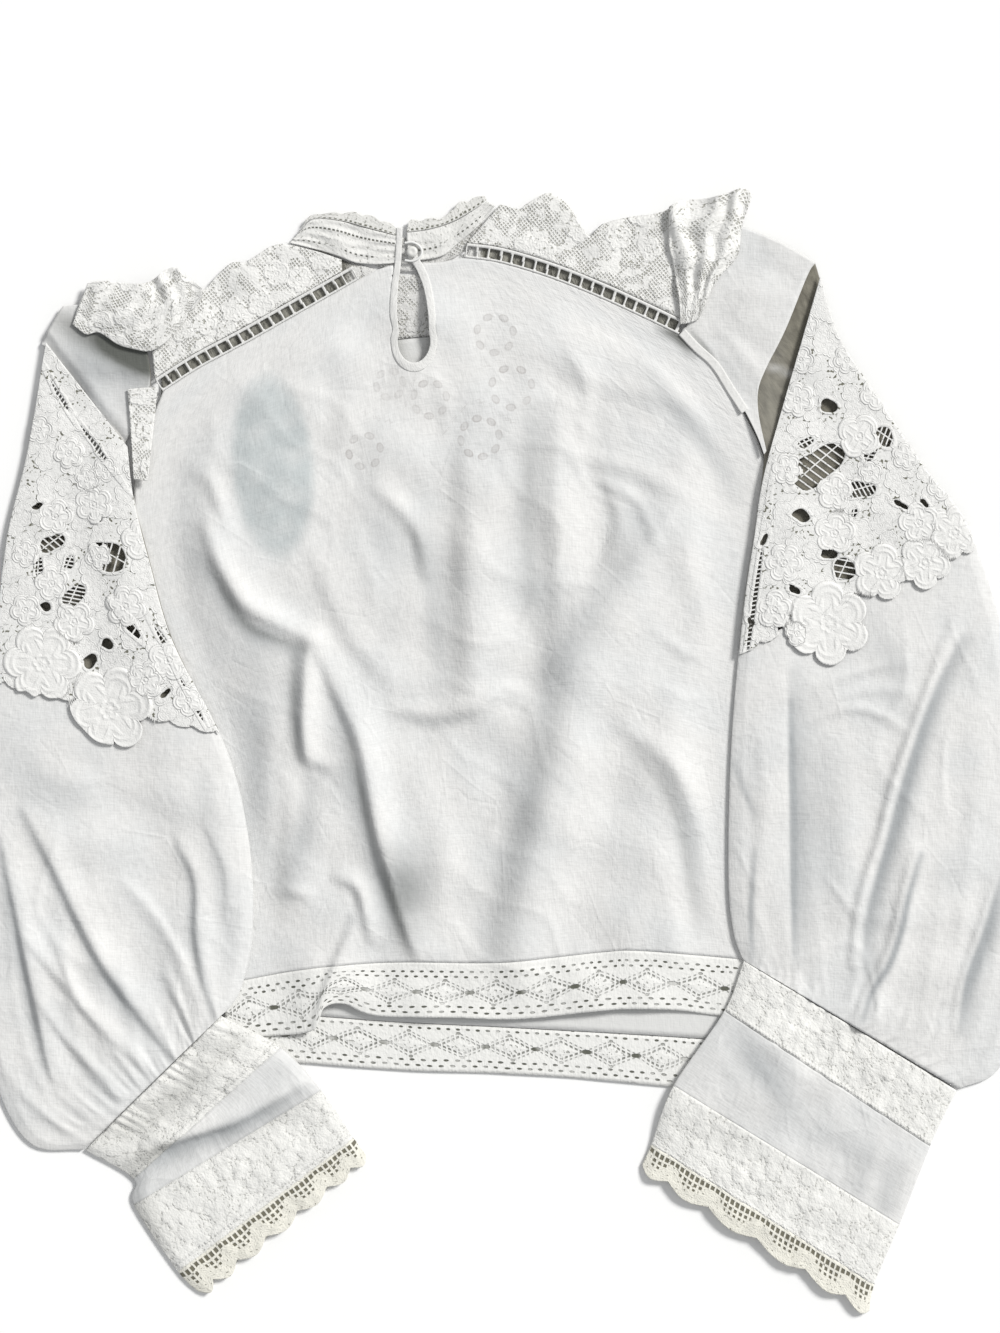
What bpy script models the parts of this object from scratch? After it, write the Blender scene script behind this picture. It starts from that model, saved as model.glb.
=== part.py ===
"""White cotton voile blouse with a lace yoke, ruffled shoulders and puff sleeves.

It lies flat on a surface with its back up. Every table below is in millimetres in the garment's own plan:
x runs across the wearer from the left sleeve to the right one, y runs from the hem to the collar, and z is up.
"""

import math

import bmesh
import bpy
import numpy as np

MM = 0.001

# Driving dimensions
CLOTH = 1.3            # wall of voile or lace, seams and thickness of the nap included
SEAM = 0.45            # gap between two pieces that are sewn edge to edge
REST = 0.4             # gap between two layers that lie on each other
LADDER_WIDTH = 8.4     # width of the openwork tape along the yoke
LADDER_PITCH = 6.9     # from one bar of that tape to the next
LADDER_RAIL = 1.7      # width of each of its two edges
KEYHOLE_RADIUS = 9.5   # widest half of the opening at the back neck
BINDING = 5.0          # width of the tape that finishes it
BUTTON_DIAMETER = 6.6
LOOP_DIAMETER = 1.6
CUFF_LOBES = {"right": 6, "left": 7}  # lobes of the edging along one side of a cuff
PLAN_CENTRE = (2.5, -50.2)  # middle of the plan, which goes to the origin

LAYER = CLOTH + REST
BACK_LEVEL = LAYER             # underside of the back, on the front
OVER_BODY = 2 * LAYER          # underside of what lies on the back
BACK_LOFT = 4.0                # how far the unpressed back stands off the front
SHELF = 5.0            # how far a sleeve stays level past the edge of the body
RAMP = 36.0                    # plan distance over which a sleeve comes down from the body to the surface

# Body outlines
BACK_TOP = [(-202, 165), (-180, 179), (-150, 195), (-120, 212), (-90, 229), (-73, 238), (-60, 241),
            (-36, 242.5), (-21, 245), (0, 242), (30, 233), (60, 221), (84, 210), (107, 199)]
BACK_LOW = [(-165, -191), (-149, -187), (-108, -180), (-60, -177), (0, -177), (60, -171), (84, -170),
            (141, -175), (157, -176)]
BACK_HEM = [(-165, -224), (-144, -222), (-113, -218), (-105, -204), (-93, -202), (-75, -209), (-30, -210),
            (12, -211), (60, -206), (84, -205), (108, -206), (129, -209), (157, -211)]
LEFT_SIDE = [(-165, -191), (-170, -100), (-183, -45), (-197, -10), (-213, 40), (-219, 80), (-217, 125),
             (-202, 165)]
RIGHT_SIDE = [(157, -176), (151, -80), (154, -20), (161, 40), (166, 90), (158, 126), (146, 152), (128, 180),
              (107, 199)]
FRONT_TOP = [(-203, 160), (-150, 176), (-100, 190), (-51, 197), (0, 200), (60, 196), (109, 190)]
FRONT_LOW = [(-160, -205), (-115, -209), (-61, -213), (0, -216), (72, -220), (120, -223), (155, -226)]
FRONT_HEM = [(-157, -236), (-115, -238), (-61, -242), (0, -244), (36, -246), (72, -249), (103, -252),
             (155, -255)]
FRONT_LEFT = [(-160, -205), (-168, -100), (-183, -45), (-197, -10), (-213, 40), (-219, 80), (-217, 125),
              (-203, 160)]
FRONT_RIGHT = [(155, -226), (151, -80), (154, -20), (161, 40), (166, 90), (158, 126), (146, 152), (128, 178),
               (109, 190)]
FRONT_NECK = [(-203, 212), (-170, 223), (-140, 238), (-112, 248), (-85, 241), (-55, 235), (-30, 242),
              (-8, 258), (12, 268), (30, 272), (60, 256), (90, 262), (101, 266)]

# Yoke and collar outlines
YOKE_LEFT_TOP = [(-211, 216), (-195, 224), (-178, 226), (-170, 234), (-161, 242), (-152, 243), (-137, 252),
                 (-127, 253), (-109, 248.6), (-95, 244)]
YOKE_RIGHT_TOP = [(0, 277), (13, 274), (17, 278), (30, 284), (41, 276), (49, 264), (54, 258), (61, 265),
                  (75, 269), (95, 272), (102, 275)]
COLLAR_LEFT_LOW = [(-126, 254), (-109, 249.8), (-97, 246), (-88, 242.6), (-78, 241.2), (-70, 241.4), (-62, 242.2)]
COLLAR_LEFT_TOP = [(-119, 262), (-112, 268), (-96, 267), (-81, 263), (-62, 258)]
COLLAR_RIGHT_LOW = [(-55, 243.5), (-45, 244), (-34, 246.5), (-26, 253), (-12, 265), (-3, 276)]
COLLAR_RIGHT_TOP = [(-56, 260), (-42, 262), (-27, 267), (-15, 274), (-8, 279)]
FRILL_LEFT_TOP = [(-116, 267), (-112, 271), (-95, 272.5), (-82, 272), (-68, 267), (-61, 263)]
FRILL_RIGHT_TOP = [(-55, 264), (-53, 268), (-34, 270), (-27, 277), (-20, 280), (-9, 283)]
COLLAR_FRONT_LOW = [(-112, 250), (-85, 243.5), (-55, 237), (-30, 244), (-10, 259)]
COLLAR_FRONT_TOP = [(-113, 265), (-95, 267), (-75, 263), (-55, 257), (-35, 263), (-12, 274)]

# Shoulder ruffles
RUFFLE_LEFT_LOW = [(-256, 205), (-248, 199), (-240, 200), (-229, 193), (-219, 190), (-209, 189), (-198, 196),
                   (-186, 211), (-178, 221)]
RUFFLE_LEFT_TOP = [(-247, 229.6), (-237, 231), (-216, 229), (-207, 232), (-200, 237.5), (-194, 238.6),
                   (-186, 232.6), (-178.5, 226.5)]
RUFFLE_RIGHT_LOW = [(108, 205), (114, 206), (119, 208)]
RUFFLE_RIGHT_TOP = [(101, 275), (109, 279), (128, 281), (145, 286), (151, 283)]
RUFFLE_RIGHT_INNER = [(108, 205), (107, 222), (103, 243), (101, 256), (101, 275)]
RUFFLE_RIGHT_OUTER = [(119, 208), (130, 232), (142, 246), (145, 264), (151, 283)]

# Sleeve stations from the sleeve head to the cuff: the inner end and the outer end of each
RIGHT_SLEEVE = {
    "columns": ("at", "inner_x", "inner_y", "outer_x", "outer_y"),
    "rows": [
        (0.00, 161, 128, 190, 240),
        (0.08, 156, 106, 203, 198),
        (0.17, 152, 78, 226, 162),
        (0.27, 147, 46, 254, 120),
        (0.38, 143, 10, 281, 83),
        (0.50, 139, -38, 303, 16),
        (0.63, 137, -86, 313, -56),
        (0.77, 137, -134, 318, -128),
        (0.88, 140, -160, 314, -190),
        (0.96, 144, -172, 300, -240),
        (1.00, 146, -176, 274, -254),
    ],
}
LEFT_SLEEVE = {
    "columns": ("at", "inner_x", "inner_y", "outer_x", "outer_y"),
    "rows": [
        (0.00, -223, 132, -272, 195),
        (0.09, -219, 100, -283, 130),
        (0.18, -210, 64, -295, 80),
        (0.28, -196, 16, -301, 33),
        (0.38, -169, -37, -305, -5),
        (0.50, -156, -74, -310, -60),
        (0.62, -149, -116, -313, -118),
        (0.76, -148, -158, -311, -190),
        (0.88, -154, -190, -303, -248),
        (0.96, -161, -203, -282, -286),
        (1.00, -167, -209, -249, -290),
    ],
}
LACE_END = 0.38        # station where the guipure insert is sewn to the puff

# Cuffs: the seams between their bands, inner end and outer end
RIGHT_CUFF = {
    "columns": ("inner_x", "inner_y", "outer_x", "outer_y"),
    "rows": [
        (146, -176, 274, -254),
        (134.4, -206, 258, -287.6),
        (103.8, -251, 239.4, -335),
        (90.6, -286.7, 224.4, -371),
        (83.4, -302.6, 221.4, -391),
    ],
}
LEFT_CUFF = {
    "columns": ("inner_x", "inner_y", "outer_x", "outer_y"),
    "rows": [
        (-167, -209, -249, -290),
        (-131.4, -228, -220, -307.4),
        (-106.8, -254, -219.6, -323),
        (-87.6, -282.8, -193, -363),
        (-78, -296, -177, -378),
    ],
}

# Folds of the back: a line through up to four points, the half width across it, and its height
BACK_FOLDS = {
    "columns": ("points", "half_width", "height"),
    "rows": [
        ([(-186, 113), (-165, 82), (-143, 33), (-93, 23)], 9, 5.0),
        ([(-177, 63), (-156, 31), (-120, 7), (-118, -47)], 7, -4.5),
        ([(-105, 13), (-102, -20), (-99, -47)], 8, 3.5),
        ([(-90, -20), (-81, -80), (-69, -128), (-59, -167)], 7, -4.5),
        ([(-93, -122), (-77, -149), (-69, -173)], 7, 4.0),
        ([(-93, -150), (-101, -188), (-104, -214)], 7, 5.0),
        ([(-60, 88), (-45, 28), (-33, -20)], 12, -3.5),
        ([(17, 142), (17, 64), (31, 4), (27, -32)], 12, -3.5),
        ([(72, 88), (54, 28), (36, -20)], 12, 3.0),
        ([(24, -20), (9, -80), (0, -170)], 11, -4.0),
        ([(84, -41), (111, -80), (124, -150)], 8, -3.5),
        ([(84, 175), (114, 148), (138, 106)], 8, -3.0),
        ([(-69, -14), (-42, -30), (-12, -21), (27, -20)], 7, 2.5),
        ([(-96, 160), (-99, 88), (-93, 40)], 12, 2.5),
        ([(-132, 160), (-135, 64)], 18, -2.5),
        ([(-143, -143), (-120, -128), (-93, -131)], 8, 3.0),
        ([(-24, -50), (-27, -190)], 14, 2.5),
        ([(54, -32), (60, -190)], 16, 2.5),
    ],
}

# Gathers of a puff: where each meets the cuff across the sleeve, where it dies away, and its height
RIGHT_GATHERS = {
    "columns": ("at_cuff", "at_top", "dies_at", "half_width", "height"),
    "rows": [
        (0.08, 0.10, 0.45, 6.5, 3.0),
        (0.19, 0.16, 0.70, 5.0, 2.6),
        (0.30, 0.26, 0.55, 7.0, 3.6),
        (0.42, 0.47, 0.75, 5.0, 3.2),
        (0.52, 0.66, 0.42, 7.5, 4.2),
        (0.63, 0.78, 0.60, 6.0, 3.4),
        (0.74, 0.84, 0.50, 6.5, 3.6),
        (0.85, 0.93, 0.66, 5.5, 3.4),
        (0.94, 0.96, 0.78, 4.5, 2.6),
    ],
}
LEFT_GATHERS = {
    "columns": ("at_cuff", "at_top", "dies_at", "half_width", "height"),
    "rows": [
        (0.07, 0.05, 0.62, 5.5, 3.0),
        (0.18, 0.14, 0.48, 6.0, 3.6),
        (0.30, 0.26, 0.70, 5.0, 2.8),
        (0.41, 0.50, 0.55, 6.5, 3.8),
        (0.52, 0.66, 0.50, 7.0, 4.2),
        (0.62, 0.80, 0.46, 6.5, 4.0),
        (0.73, 0.90, 0.50, 6.0, 3.6),
        (0.84, 0.95, 0.66, 5.5, 3.2),
        (0.94, 0.97, 0.80, 4.5, 2.6),
    ],
}

# Guipure flowers on the inserts: centre across the sleeve and along it, radius, petals, and how thick they stand
RIGHT_FLOWERS = {
    "columns": ("across", "along", "radius", "height"),
    "rows": [
        (0.38, 0.413, 26, 1.8),
        (0.77, 0.400, 21, 1.8),
        (0.49, 0.280, 15, 1.5),
        (0.57, 0.230, 12, 1.5),
        (0.77, 0.188, 13, 1.5),
        (0.59, 0.383, 11, 1.3),
        (0.53, 0.068, 13, 1.2),
        (0.17, 0.255, 12, 1.2),
    ],
}
LEFT_FLOWERS = {
    "columns": ("across", "along", "radius", "height"),
    "rows": [
        (0.47, 0.390, 27, 1.8),
        (0.77, 0.345, 24, 1.8),
        (0.08, 0.223, 14, 1.3),
        (0.64, 0.253, 14, 1.4),
        (0.35, 0.120, 14, 1.2),
        (0.08, 0.338, 13, 1.3),
        (0.64, 0.060, 13, 1.2),
    ],
}

# Gaps of the guipure net, as cells of the insert's grid, counted across and along
INSERT_CELLS = (12, 18)
RIGHT_GAPS = [(4, 10), (5, 10), (6, 10), (4, 11), (5, 11), (6, 11), (4, 12), (5, 12), (6, 12), (7, 10),
              (8, 8), (8, 7), (8, 13), (10, 10), (9, 6), (3, 6), (5, 6), (5, 5), (2, 4), (1, 3), (2, 1), (3, 8)]
LEFT_GAPS = [(2, 9), (3, 9), (2, 10), (3, 10), (4, 11), (4, 12), (2, 5), (2, 6), (2, 7), (3, 7),
             (1, 4), (4, 6), (6, 5), (5, 8), (6, 8), (8, 6), (8, 10), (9, 12), (1, 2), (1, 6)]


def smooth(points, t):
    """Catmull-Rom curve through the points at each t from 0 to 1, spaced by chord length."""
    p = np.array(points, float)
    if len(p) == 2:
        return p[0] + np.asarray(t)[:, None] * (p[1] - p[0])
    along = np.concatenate([[0], np.cumsum(np.linalg.norm(np.diff(p, axis=0), axis=1))])
    where = np.clip(np.asarray(t, float), 0, 1) * along[-1]
    i = np.clip(np.searchsorted(along, where, side="right") - 1, 0, len(p) - 2)
    q = np.vstack([2 * p[0] - p[1], p, 2 * p[-1] - p[-2]])
    s = ((where - along[i]) / (along[i + 1] - along[i]))[:, None]
    a, b, c, d = q[i], q[i + 1], q[i + 2], q[i + 3]
    return 0.5 * (2 * b + (c - a) * s + (2 * a - 5 * b + 4 * c - d) * s**2 + (3 * b - a - 3 * c + d) * s**3)


def beside(points, distance):
    """The points moved square to their line, to its left where distance is positive."""
    p = np.array(points, float)
    run = np.gradient(p, axis=0)
    run /= np.linalg.norm(run, axis=1)[:, None]
    return p + distance * np.column_stack([-run[:, 1], run[:, 0]])


def ease(t):
    """Smooth step from 0 to 1."""
    t = np.clip(t, 0, 1)
    return t * t * (3 - 2 * t)


def between(low, high):
    """Plan of a strip ruled between a lower and an upper edge."""
    return lambda u, v: (1 - v)[:, None] * smooth(low, u) + v[:, None] * smooth(high, u)


def panel(low, high, left, right):
    """Plan of a panel with four curved edges (a Coons patch)."""
    def place(u, v):
        a, b = u[:, None], v[:, None]
        low_left, low_right = np.array(low[0], float), np.array(low[-1], float)
        high_left, high_right = np.array(high[0], float), np.array(high[-1], float)
        corners = ((1 - a) * (1 - b) * low_left + a * (1 - b) * low_right
                   + (1 - a) * b * high_left + a * b * high_right)
        return ((1 - b) * smooth(low, u) + b * smooth(high, u)
                + (1 - a) * smooth(left, v) + a * smooth(right, v) - corners)
    return place


def stations(table, start, end):
    """Plan of a stretch of sleeve or cuff between two of its stations: u from inner to outer, v along it."""
    rows = np.array(table["rows"], float)
    if len(table["columns"]) == 5:
        at, rows = rows[:, 0], rows[:, 1:]
    else:
        at = np.arange(len(rows), dtype=float)

    def place(u, v):
        where = start + v * (end - start)
        t = np.interp(where, at, chord(rows[:, :2]))
        s = np.interp(where, at, chord(rows[:, 2:]))
        inner, outer = smooth(rows[:, :2], t), smooth(rows[:, 2:], s)
        return (1 - u)[:, None] * inner + u[:, None] * outer
    return place


def chord(points):
    """How far along its line each point is, from 0 to 1."""
    steps = np.cumsum(np.linalg.norm(np.diff(points, axis=0), axis=1))
    return np.concatenate([[0], steps / steps[-1]])


def outside(x, y, outline):
    """Plan distance from each point to the outline, and 0 inside it."""
    p = np.array(outline, float)
    a, b = p, np.roll(p, -1, axis=0)
    ab = b - a
    at = np.column_stack([x, y])[:, None, :]
    t = np.clip(((at - a) * ab).sum(-1) / (ab**2).sum(-1), 0, 1)
    away = np.linalg.norm(at - (a + t[..., None] * ab), axis=-1).min(1)
    crosses = (a[:, 1] > at[..., 1]) != (b[:, 1] > at[..., 1])
    rise = np.where(ab[:, 1] == 0, 1, ab[:, 1])
    left_of = at[..., 0] < a[:, 0] + (at[..., 1] - a[:, 1]) * ab[:, 0] / rise
    return np.where((crosses & left_of).sum(1) % 2 == 1, 0, away)


# The part of the body that sleeves and cuffs lie on
UNDERARM_LEFT, UNDERARM_RIGHT = (-218, 112), (158, 126)
FOOTPRINT = (FRONT_HEM + [(157, -176), (151, -80), (154, -20), (161, 40), (166, 90), UNDERARM_RIGHT]
             + [UNDERARM_LEFT, (-219, 80), (-213, 40), (-197, -10), (-183, -45), (-170, -100), (-165, -191)])


def surface_under_sleeve(x, y):
    """Height of what a sleeve lies on: the surface, or the body where the sleeve has come to rest on it."""
    return OVER_BODY * ease(1 - (outside(x, y, FOOTPRINT) - SHELF) / RAMP)


# How much of the back stays flat under the sleeves and cuffs, in from its side edges
FLAT_AT_Y = [-224, -211, -177, -150, 150]
FLAT_FROM_LEFT = [26, 25, 24, 24, 14]
FLAT_FROM_RIGHT = [32, 30, 24, 20, 18]
FLAT_RAMP = 14.0


def fold_height(x, y, table):
    """Sum of a table's folds at each plan point."""
    total = np.zeros(len(x))
    t = np.linspace(0, 1, 33)
    for points, half_width, height in table["rows"]:
        line = smooth(points, t)
        apart = np.hypot(x[:, None] - line[:, 0], y[:, None] - line[:, 1])
        nearest = apart.argmin(1)
        taper = np.sin(math.pi * (0.08 + 0.84 * t[nearest])) ** 0.6
        total += height * taper * np.exp(-(apart.min(1) / half_width) ** 2)
    return total


def back_underside(x, y):
    """Underside of the back and of the lace, tape and yoke in its layer."""
    side = lambda edge: np.interp(y, *zip(*sorted((b, a) for a, b in edge)))
    from_left = x - side(LEFT_SIDE) - np.interp(y, FLAT_AT_Y, FLAT_FROM_LEFT)
    from_right = side(RIGHT_SIDE) - x - np.interp(y, FLAT_AT_Y, FLAT_FROM_RIGHT)
    below_yoke = np.interp(x, *zip(*BACK_TOP)) - y - 3
    held = ease(from_left / FLAT_RAMP) * ease(from_right / FLAT_RAMP) * ease(below_yoke / 22)
    lift = BACK_LOFT + fold_height(x, y, BACK_FOLDS)
    return BACK_LEVEL + held * np.logaddexp(0, 2 * lift) / 2


# Finishes: a name, a colour, a roughness and a sheen
VOILE = ("voile", (0.86, 0.87, 0.86), 0.85, 0.3)
LACE = ("lace", (0.89, 0.89, 0.87), 0.9, 0.2)
SHELL = ("shell", (0.9, 0.89, 0.86), 0.35, 0.0)


def finish(piece, kind):
    """The material of one piece."""
    name, colour, roughness, sheen = kind
    made = bpy.data.materials.new(f"{piece}_{name}")
    made.use_nodes = True
    shader = made.node_tree.nodes["Principled BSDF"]
    shader.inputs["Base Color"].default_value = (*colour, 1)
    shader.inputs["Roughness"].default_value = roughness
    shader.inputs["Sheen Weight"].default_value = sheen
    made.diffuse_color = (*colour, 1)
    return made


def keep(name, mesh, material):
    """Puts a finished mesh in the garment's collection, under the empty that carries the whole."""
    made = bpy.data.objects.new(name, mesh)
    mesh.materials.append(finish(name, material))
    mesh.shade_smooth()
    mesh.set_sharp_from_angle(angle=math.radians(50))
    GARMENT.objects.link(made)
    made.parent = CARRIER
    return made


def sheet(name, plan, cells, underside, material, relief=None, gaps=(), gap_inset=0.0):
    """A wall of cloth: a grid laid over the plan, raised to its underside and thickened upwards.

    relief gives extra height of the outer side at u, v. gaps are cells cut right through.
    """
    across, along = cells
    bm = bmesh.new()
    u_layer, v_layer = bm.verts.layers.float.new("u"), bm.verts.layers.float.new("v")
    bmesh.ops.create_grid(bm, x_segments=across, y_segments=along, size=0.5)
    cut = [f for f in bm.faces if cell_of(f, across, along) in set(gaps)]
    u, v = (np.array([vert.co[k] + 0.5 for vert in bm.verts]) for k in (0, 1))
    xy = plan(u, v)
    z = underside(*xy.T) if underside.__code__.co_argcount == 2 else underside(*xy.T, u, v)
    for vert, a, b, (x, y), height in zip(bm.verts, u, v, xy, z):
        vert[u_layer], vert[v_layer] = a, b
        vert.co = x, y, height
    if cut and gap_inset:
        bm.normal_update()
        bmesh.ops.inset_individual(bm, faces=cut, thickness=gap_inset, use_even_offset=False)
    if cut:
        bmesh.ops.delete(bm, geom=cut, context="FACES_KEEP_BOUNDARY")
    raised = bmesh.ops.extrude_face_region(bm, geom=bm.faces[:])["geom"]
    top = [vert for vert in raised if isinstance(vert, bmesh.types.BMVert)]
    extra = np.zeros(len(top))
    if relief:
        extra = relief(np.array([t[u_layer] for t in top]), np.array([t[v_layer] for t in top]))
    for vert, more in zip(top, extra):
        vert.co.z += CLOTH + more
    return closed(name, bm, material)


def cell_of(face, across, along):
    """Which cell of the unit grid a face is, counted across and along."""
    middle = face.calc_center_median()
    return int((middle.x + 0.5) * across), int((middle.y + 0.5) * along)


def closed(name, bm, material):
    """Turns a bmesh in millimetres into a kept object in metres, with its faces pointing out."""
    bmesh.ops.triangulate(bm, faces=bm.faces[:])
    bmesh.ops.recalc_face_normals(bm, faces=bm.faces[:])
    bmesh.ops.scale(bm, vec=(MM, MM, MM), verts=bm.verts[:])
    mesh = bpy.data.meshes.new(name)
    bm.to_mesh(mesh)
    bm.free()
    return keep(name, mesh, material)


def tube(name, plan, cells, height, material):
    """A flattened tube of cloth, open at both ends: a loft of rings with an outer and an inner wall.

    cells are the counts across the top, across the underside and along. height gives the top at u, v.
    """
    across, under, along = cells
    top_u = np.linspace(1, 0, across + 1)[1:-1]
    low_u = np.linspace(0, 1, under + 1)[1:-1]
    bm = bmesh.new()
    rings = []
    for v in np.linspace(0, 1, along + 1):
        ends = plan(np.array([0.0, 1.0]), np.full(2, v))
        wall = CLOTH / np.linalg.norm(ends[1] - ends[0])
        ring_pair = []
        for inset, thick in ((0.0, 0.0), (wall, CLOTH)):
            u = inset + (1 - 2 * inset) * np.concatenate([[0], low_u, [1], top_u])
            xy = plan(u, np.full(len(u), v))
            base = surface_under_sleeve(*xy.T)
            top = base + height(u, np.full(len(u), v))
            z = np.concatenate([[0], base[1:under] + thick, [0], top[under + 1:] - thick])
            for side in (0, under):
                z[side] = base[side] + 1.5 * CLOTH + REST / 2
            ring_pair.append([bm.verts.new((x, y, h)) for (x, y), h in zip(xy, z)])
        rings.append(ring_pair)
    count = len(rings[0][0])
    for (outer, inner), (outer_next, inner_next) in zip(rings, rings[1:]):
        for k in range(count):
            m = (k + 1) % count
            bm.faces.new((outer[k], outer[m], outer_next[m], outer_next[k]))
            bm.faces.new((inner[k], inner_next[k], inner_next[m], inner[m]))
    for outer, inner in (rings[0], rings[-1]):
        for k in range(count):
            m = (k + 1) % count
            bm.faces.new((outer[k], inner[k], inner[m], outer[m]))
    return closed(name, bm, material)


def flat_on_surface(x, y):
    """Underside of the front, which lies on the surface."""
    return np.zeros(len(x))


def front_body():
    sheet("front_body", panel(FRONT_LOW, FRONT_TOP, FRONT_LEFT, FRONT_RIGHT), (6, 8), flat_on_surface, VOILE)
    sheet("front_hem_lace", between(FRONT_HEM, beside(FRONT_LOW, -SEAM)), (12, 1), flat_on_surface, LACE)
    sheet("front_yoke", between(beside(FRONT_TOP, SEAM), FRONT_NECK), (12, 1), flat_on_surface, LACE)
    sheet("front_collar", between(COLLAR_FRONT_LOW, COLLAR_FRONT_TOP), (10, 1), flat_on_surface, LACE)


def keyhole_outline(grow):
    """Teardrop at the back neck, its point up and open to the collar, grown by a margin."""
    middle_x, middle_y, point = -51.5, 195.0, (-56.5, 262.0)
    turns = np.linspace(math.radians(158), math.radians(382), 17)
    radius = KEYHOLE_RADIUS + grow
    round_end = [(middle_x + radius * math.cos(t), middle_y + 1.35 * radius * math.sin(t)) for t in turns]
    right = (point[0] + 2.6 + grow, point[1])
    left = (point[0] - 2.6 - grow, point[1])
    return [left] + round_end + [right]


def back_body():
    """The back with the keyhole cut out of it."""
    back = sheet("back_body", panel(BACK_LOW, BACK_TOP, LEFT_SIDE, RIGHT_SIDE), (30, 32), back_underside, VOILE)
    cutter = bmesh.new()
    corners = [cutter.verts.new((x * MM, y * MM, -0.02)) for x, y in keyhole_outline(0)]
    bmesh.ops.contextual_create(cutter, geom=corners)
    raised = bmesh.ops.extrude_face_region(cutter, geom=cutter.faces[:])["geom"]
    for item in raised:
        if isinstance(item, bmesh.types.BMVert):
            item.co.z = 0.04
    bmesh.ops.recalc_face_normals(cutter, faces=cutter.faces[:])
    mesh = bpy.data.meshes.new("keyhole_cutter")
    cutter.to_mesh(mesh)
    cutter.free()
    tool = bpy.data.objects.new("keyhole_cutter", mesh)
    tool.hide_render = True
    tool.display_type = "WIRE"
    CUTTERS.objects.link(tool)
    tool.parent = CARRIER
    trim = back.modifiers.new("keyhole", "BOOLEAN")
    trim.operation = "DIFFERENCE"
    trim.object = tool


def keyhole_binding():
    """Tape folded over the edge of the keyhole, lying on the back along both sides and round the foot."""
    inner, outer = keyhole_outline(0.4), keyhole_outline(BINDING)
    trimmed = lambda line: [p for p in line if p[1] < 240]
    left, left_end, right, right_end = -59.0, 263.0, -53.5, 240.0
    inner = [(left + 0.8, left_end), (left, 243)] + trimmed(inner) + [(right + 0.4, right_end)]
    outer = [(left - 0.8 * BINDING, left_end), (left - BINDING, 243)] + trimmed(outer) + [(right + BINDING, right_end)]
    over_back = lambda x, y: back_underside(x, y) + LAYER + 0.5
    sheet("keyhole_binding", between(inner, outer), (26, 1), over_back, VOILE)


def back_hem_lace():
    sheet("back_hem_lace", between(BACK_HEM, beside(BACK_LOW, -SEAM)), (32, 1), back_underside, LACE)


def ladder(name, edge):
    """Openwork tape: two rails joined by bars, with the gaps between the bars cut through."""
    length = np.linalg.norm(np.diff(np.array(edge, float), axis=0), axis=1).sum()
    gaps = int(length / LADDER_PITCH)
    rail = LADDER_RAIL / LADDER_WIDTH
    bar = 0.32

    def plan(u, v):
        column = np.round(u * (2 * gaps + 1))
        pair = column // 2
        t = np.where(column % 2 == 0, pair, pair + bar) / (gaps + bar)
        row = np.round(v * 3)
        across = np.choose(row.astype(int), [0, rail, 1 - rail, 1])
        low, high = beside(edge, SEAM), beside(edge, SEAM + LADDER_WIDTH)
        return between(low, high)(t, across)

    holes = [(2 * k + 1, 1) for k in range(gaps)]
    sheet(name, plan, (2 * gaps + 1, 3), back_underside, LACE, gaps=holes)


def yoke():
    left_seam, right_seam = BACK_TOP[:5] + [(-84, 232.4)], BACK_TOP[8:]
    ladder("ladder_left", left_seam)
    ladder("ladder_right", right_seam)
    clear = 2 * SEAM + LADDER_WIDTH
    sheet("yoke_left", between(beside(left_seam[:5], clear), YOKE_LEFT_TOP), (16, 2), back_underside, LACE)
    sheet("yoke_right", between(beside(right_seam, clear), YOKE_RIGHT_TOP), (18, 2), back_underside, LACE)


def collar():
    sheet("collar_left", between(COLLAR_LEFT_LOW, COLLAR_LEFT_TOP), (8, 1), back_underside, LACE)
    sheet("collar_right", between(COLLAR_RIGHT_LOW, COLLAR_RIGHT_TOP), (8, 1), back_underside, LACE)
    frill("collar_frill_left", COLLAR_LEFT_TOP, FRILL_LEFT_TOP, 5)
    frill("collar_frill_right", COLLAR_RIGHT_TOP, FRILL_RIGHT_TOP, 5)


def frill(name, seam, edge, lobes):
    """Scalloped lace standing above the collar."""
    strip = between(beside(seam, SEAM), edge)

    def plan(u, v):
        lobe = np.abs(np.sin(lobes * math.pi * u))
        return strip(u, v * (0.78 + 0.22 * lobe))

    sheet(name, plan, (4 * lobes, 1), back_underside, LACE)


def closure():
    """Small shank button on one end of the collar and a thread loop on the other."""
    radius = BUTTON_DIAMETER / 2 * MM
    bm = bmesh.new()
    bmesh.ops.create_uvsphere(bm, u_segments=10, v_segments=6, radius=radius)
    bmesh.ops.scale(bm, vec=(1, 1, 0.5), verts=bm.verts[:])
    mesh = bpy.data.meshes.new("neck_button")
    bm.to_mesh(mesh)
    bm.free()
    button = keep("neck_button", mesh, SHELL)
    button.location = (-52.6 * MM, 248.5 * MM, (OVER_BODY + BUTTON_DIAMETER / 4) * MM)

    loop_height = OVER_BODY + LOOP_DIAMETER / 2
    path = [(-57.0, 243.4), (-52.5, 243.0), (-48.4, 245.0), (-46.8, 248.5), (-48.4, 252.0), (-52.5, 254.2),
            (-57.0, 253.8)]
    curve = bpy.data.curves.new("neck_loop", "CURVE")
    curve.dimensions = "3D"
    curve.bevel_depth = LOOP_DIAMETER / 2 * MM
    curve.bevel_resolution = 1
    curve.use_fill_caps = True
    line = curve.splines.new("POLY")
    line.points.add(len(path) - 1)
    for point, (x, y) in zip(line.points, path):
        point.co = (x * MM, y * MM, loop_height * MM, 1)
    made = bpy.data.objects.new("neck_loop", curve)
    curve.materials.append(finish("neck_loop", VOILE))
    GARMENT.objects.link(made)
    made.parent = CARRIER


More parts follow.
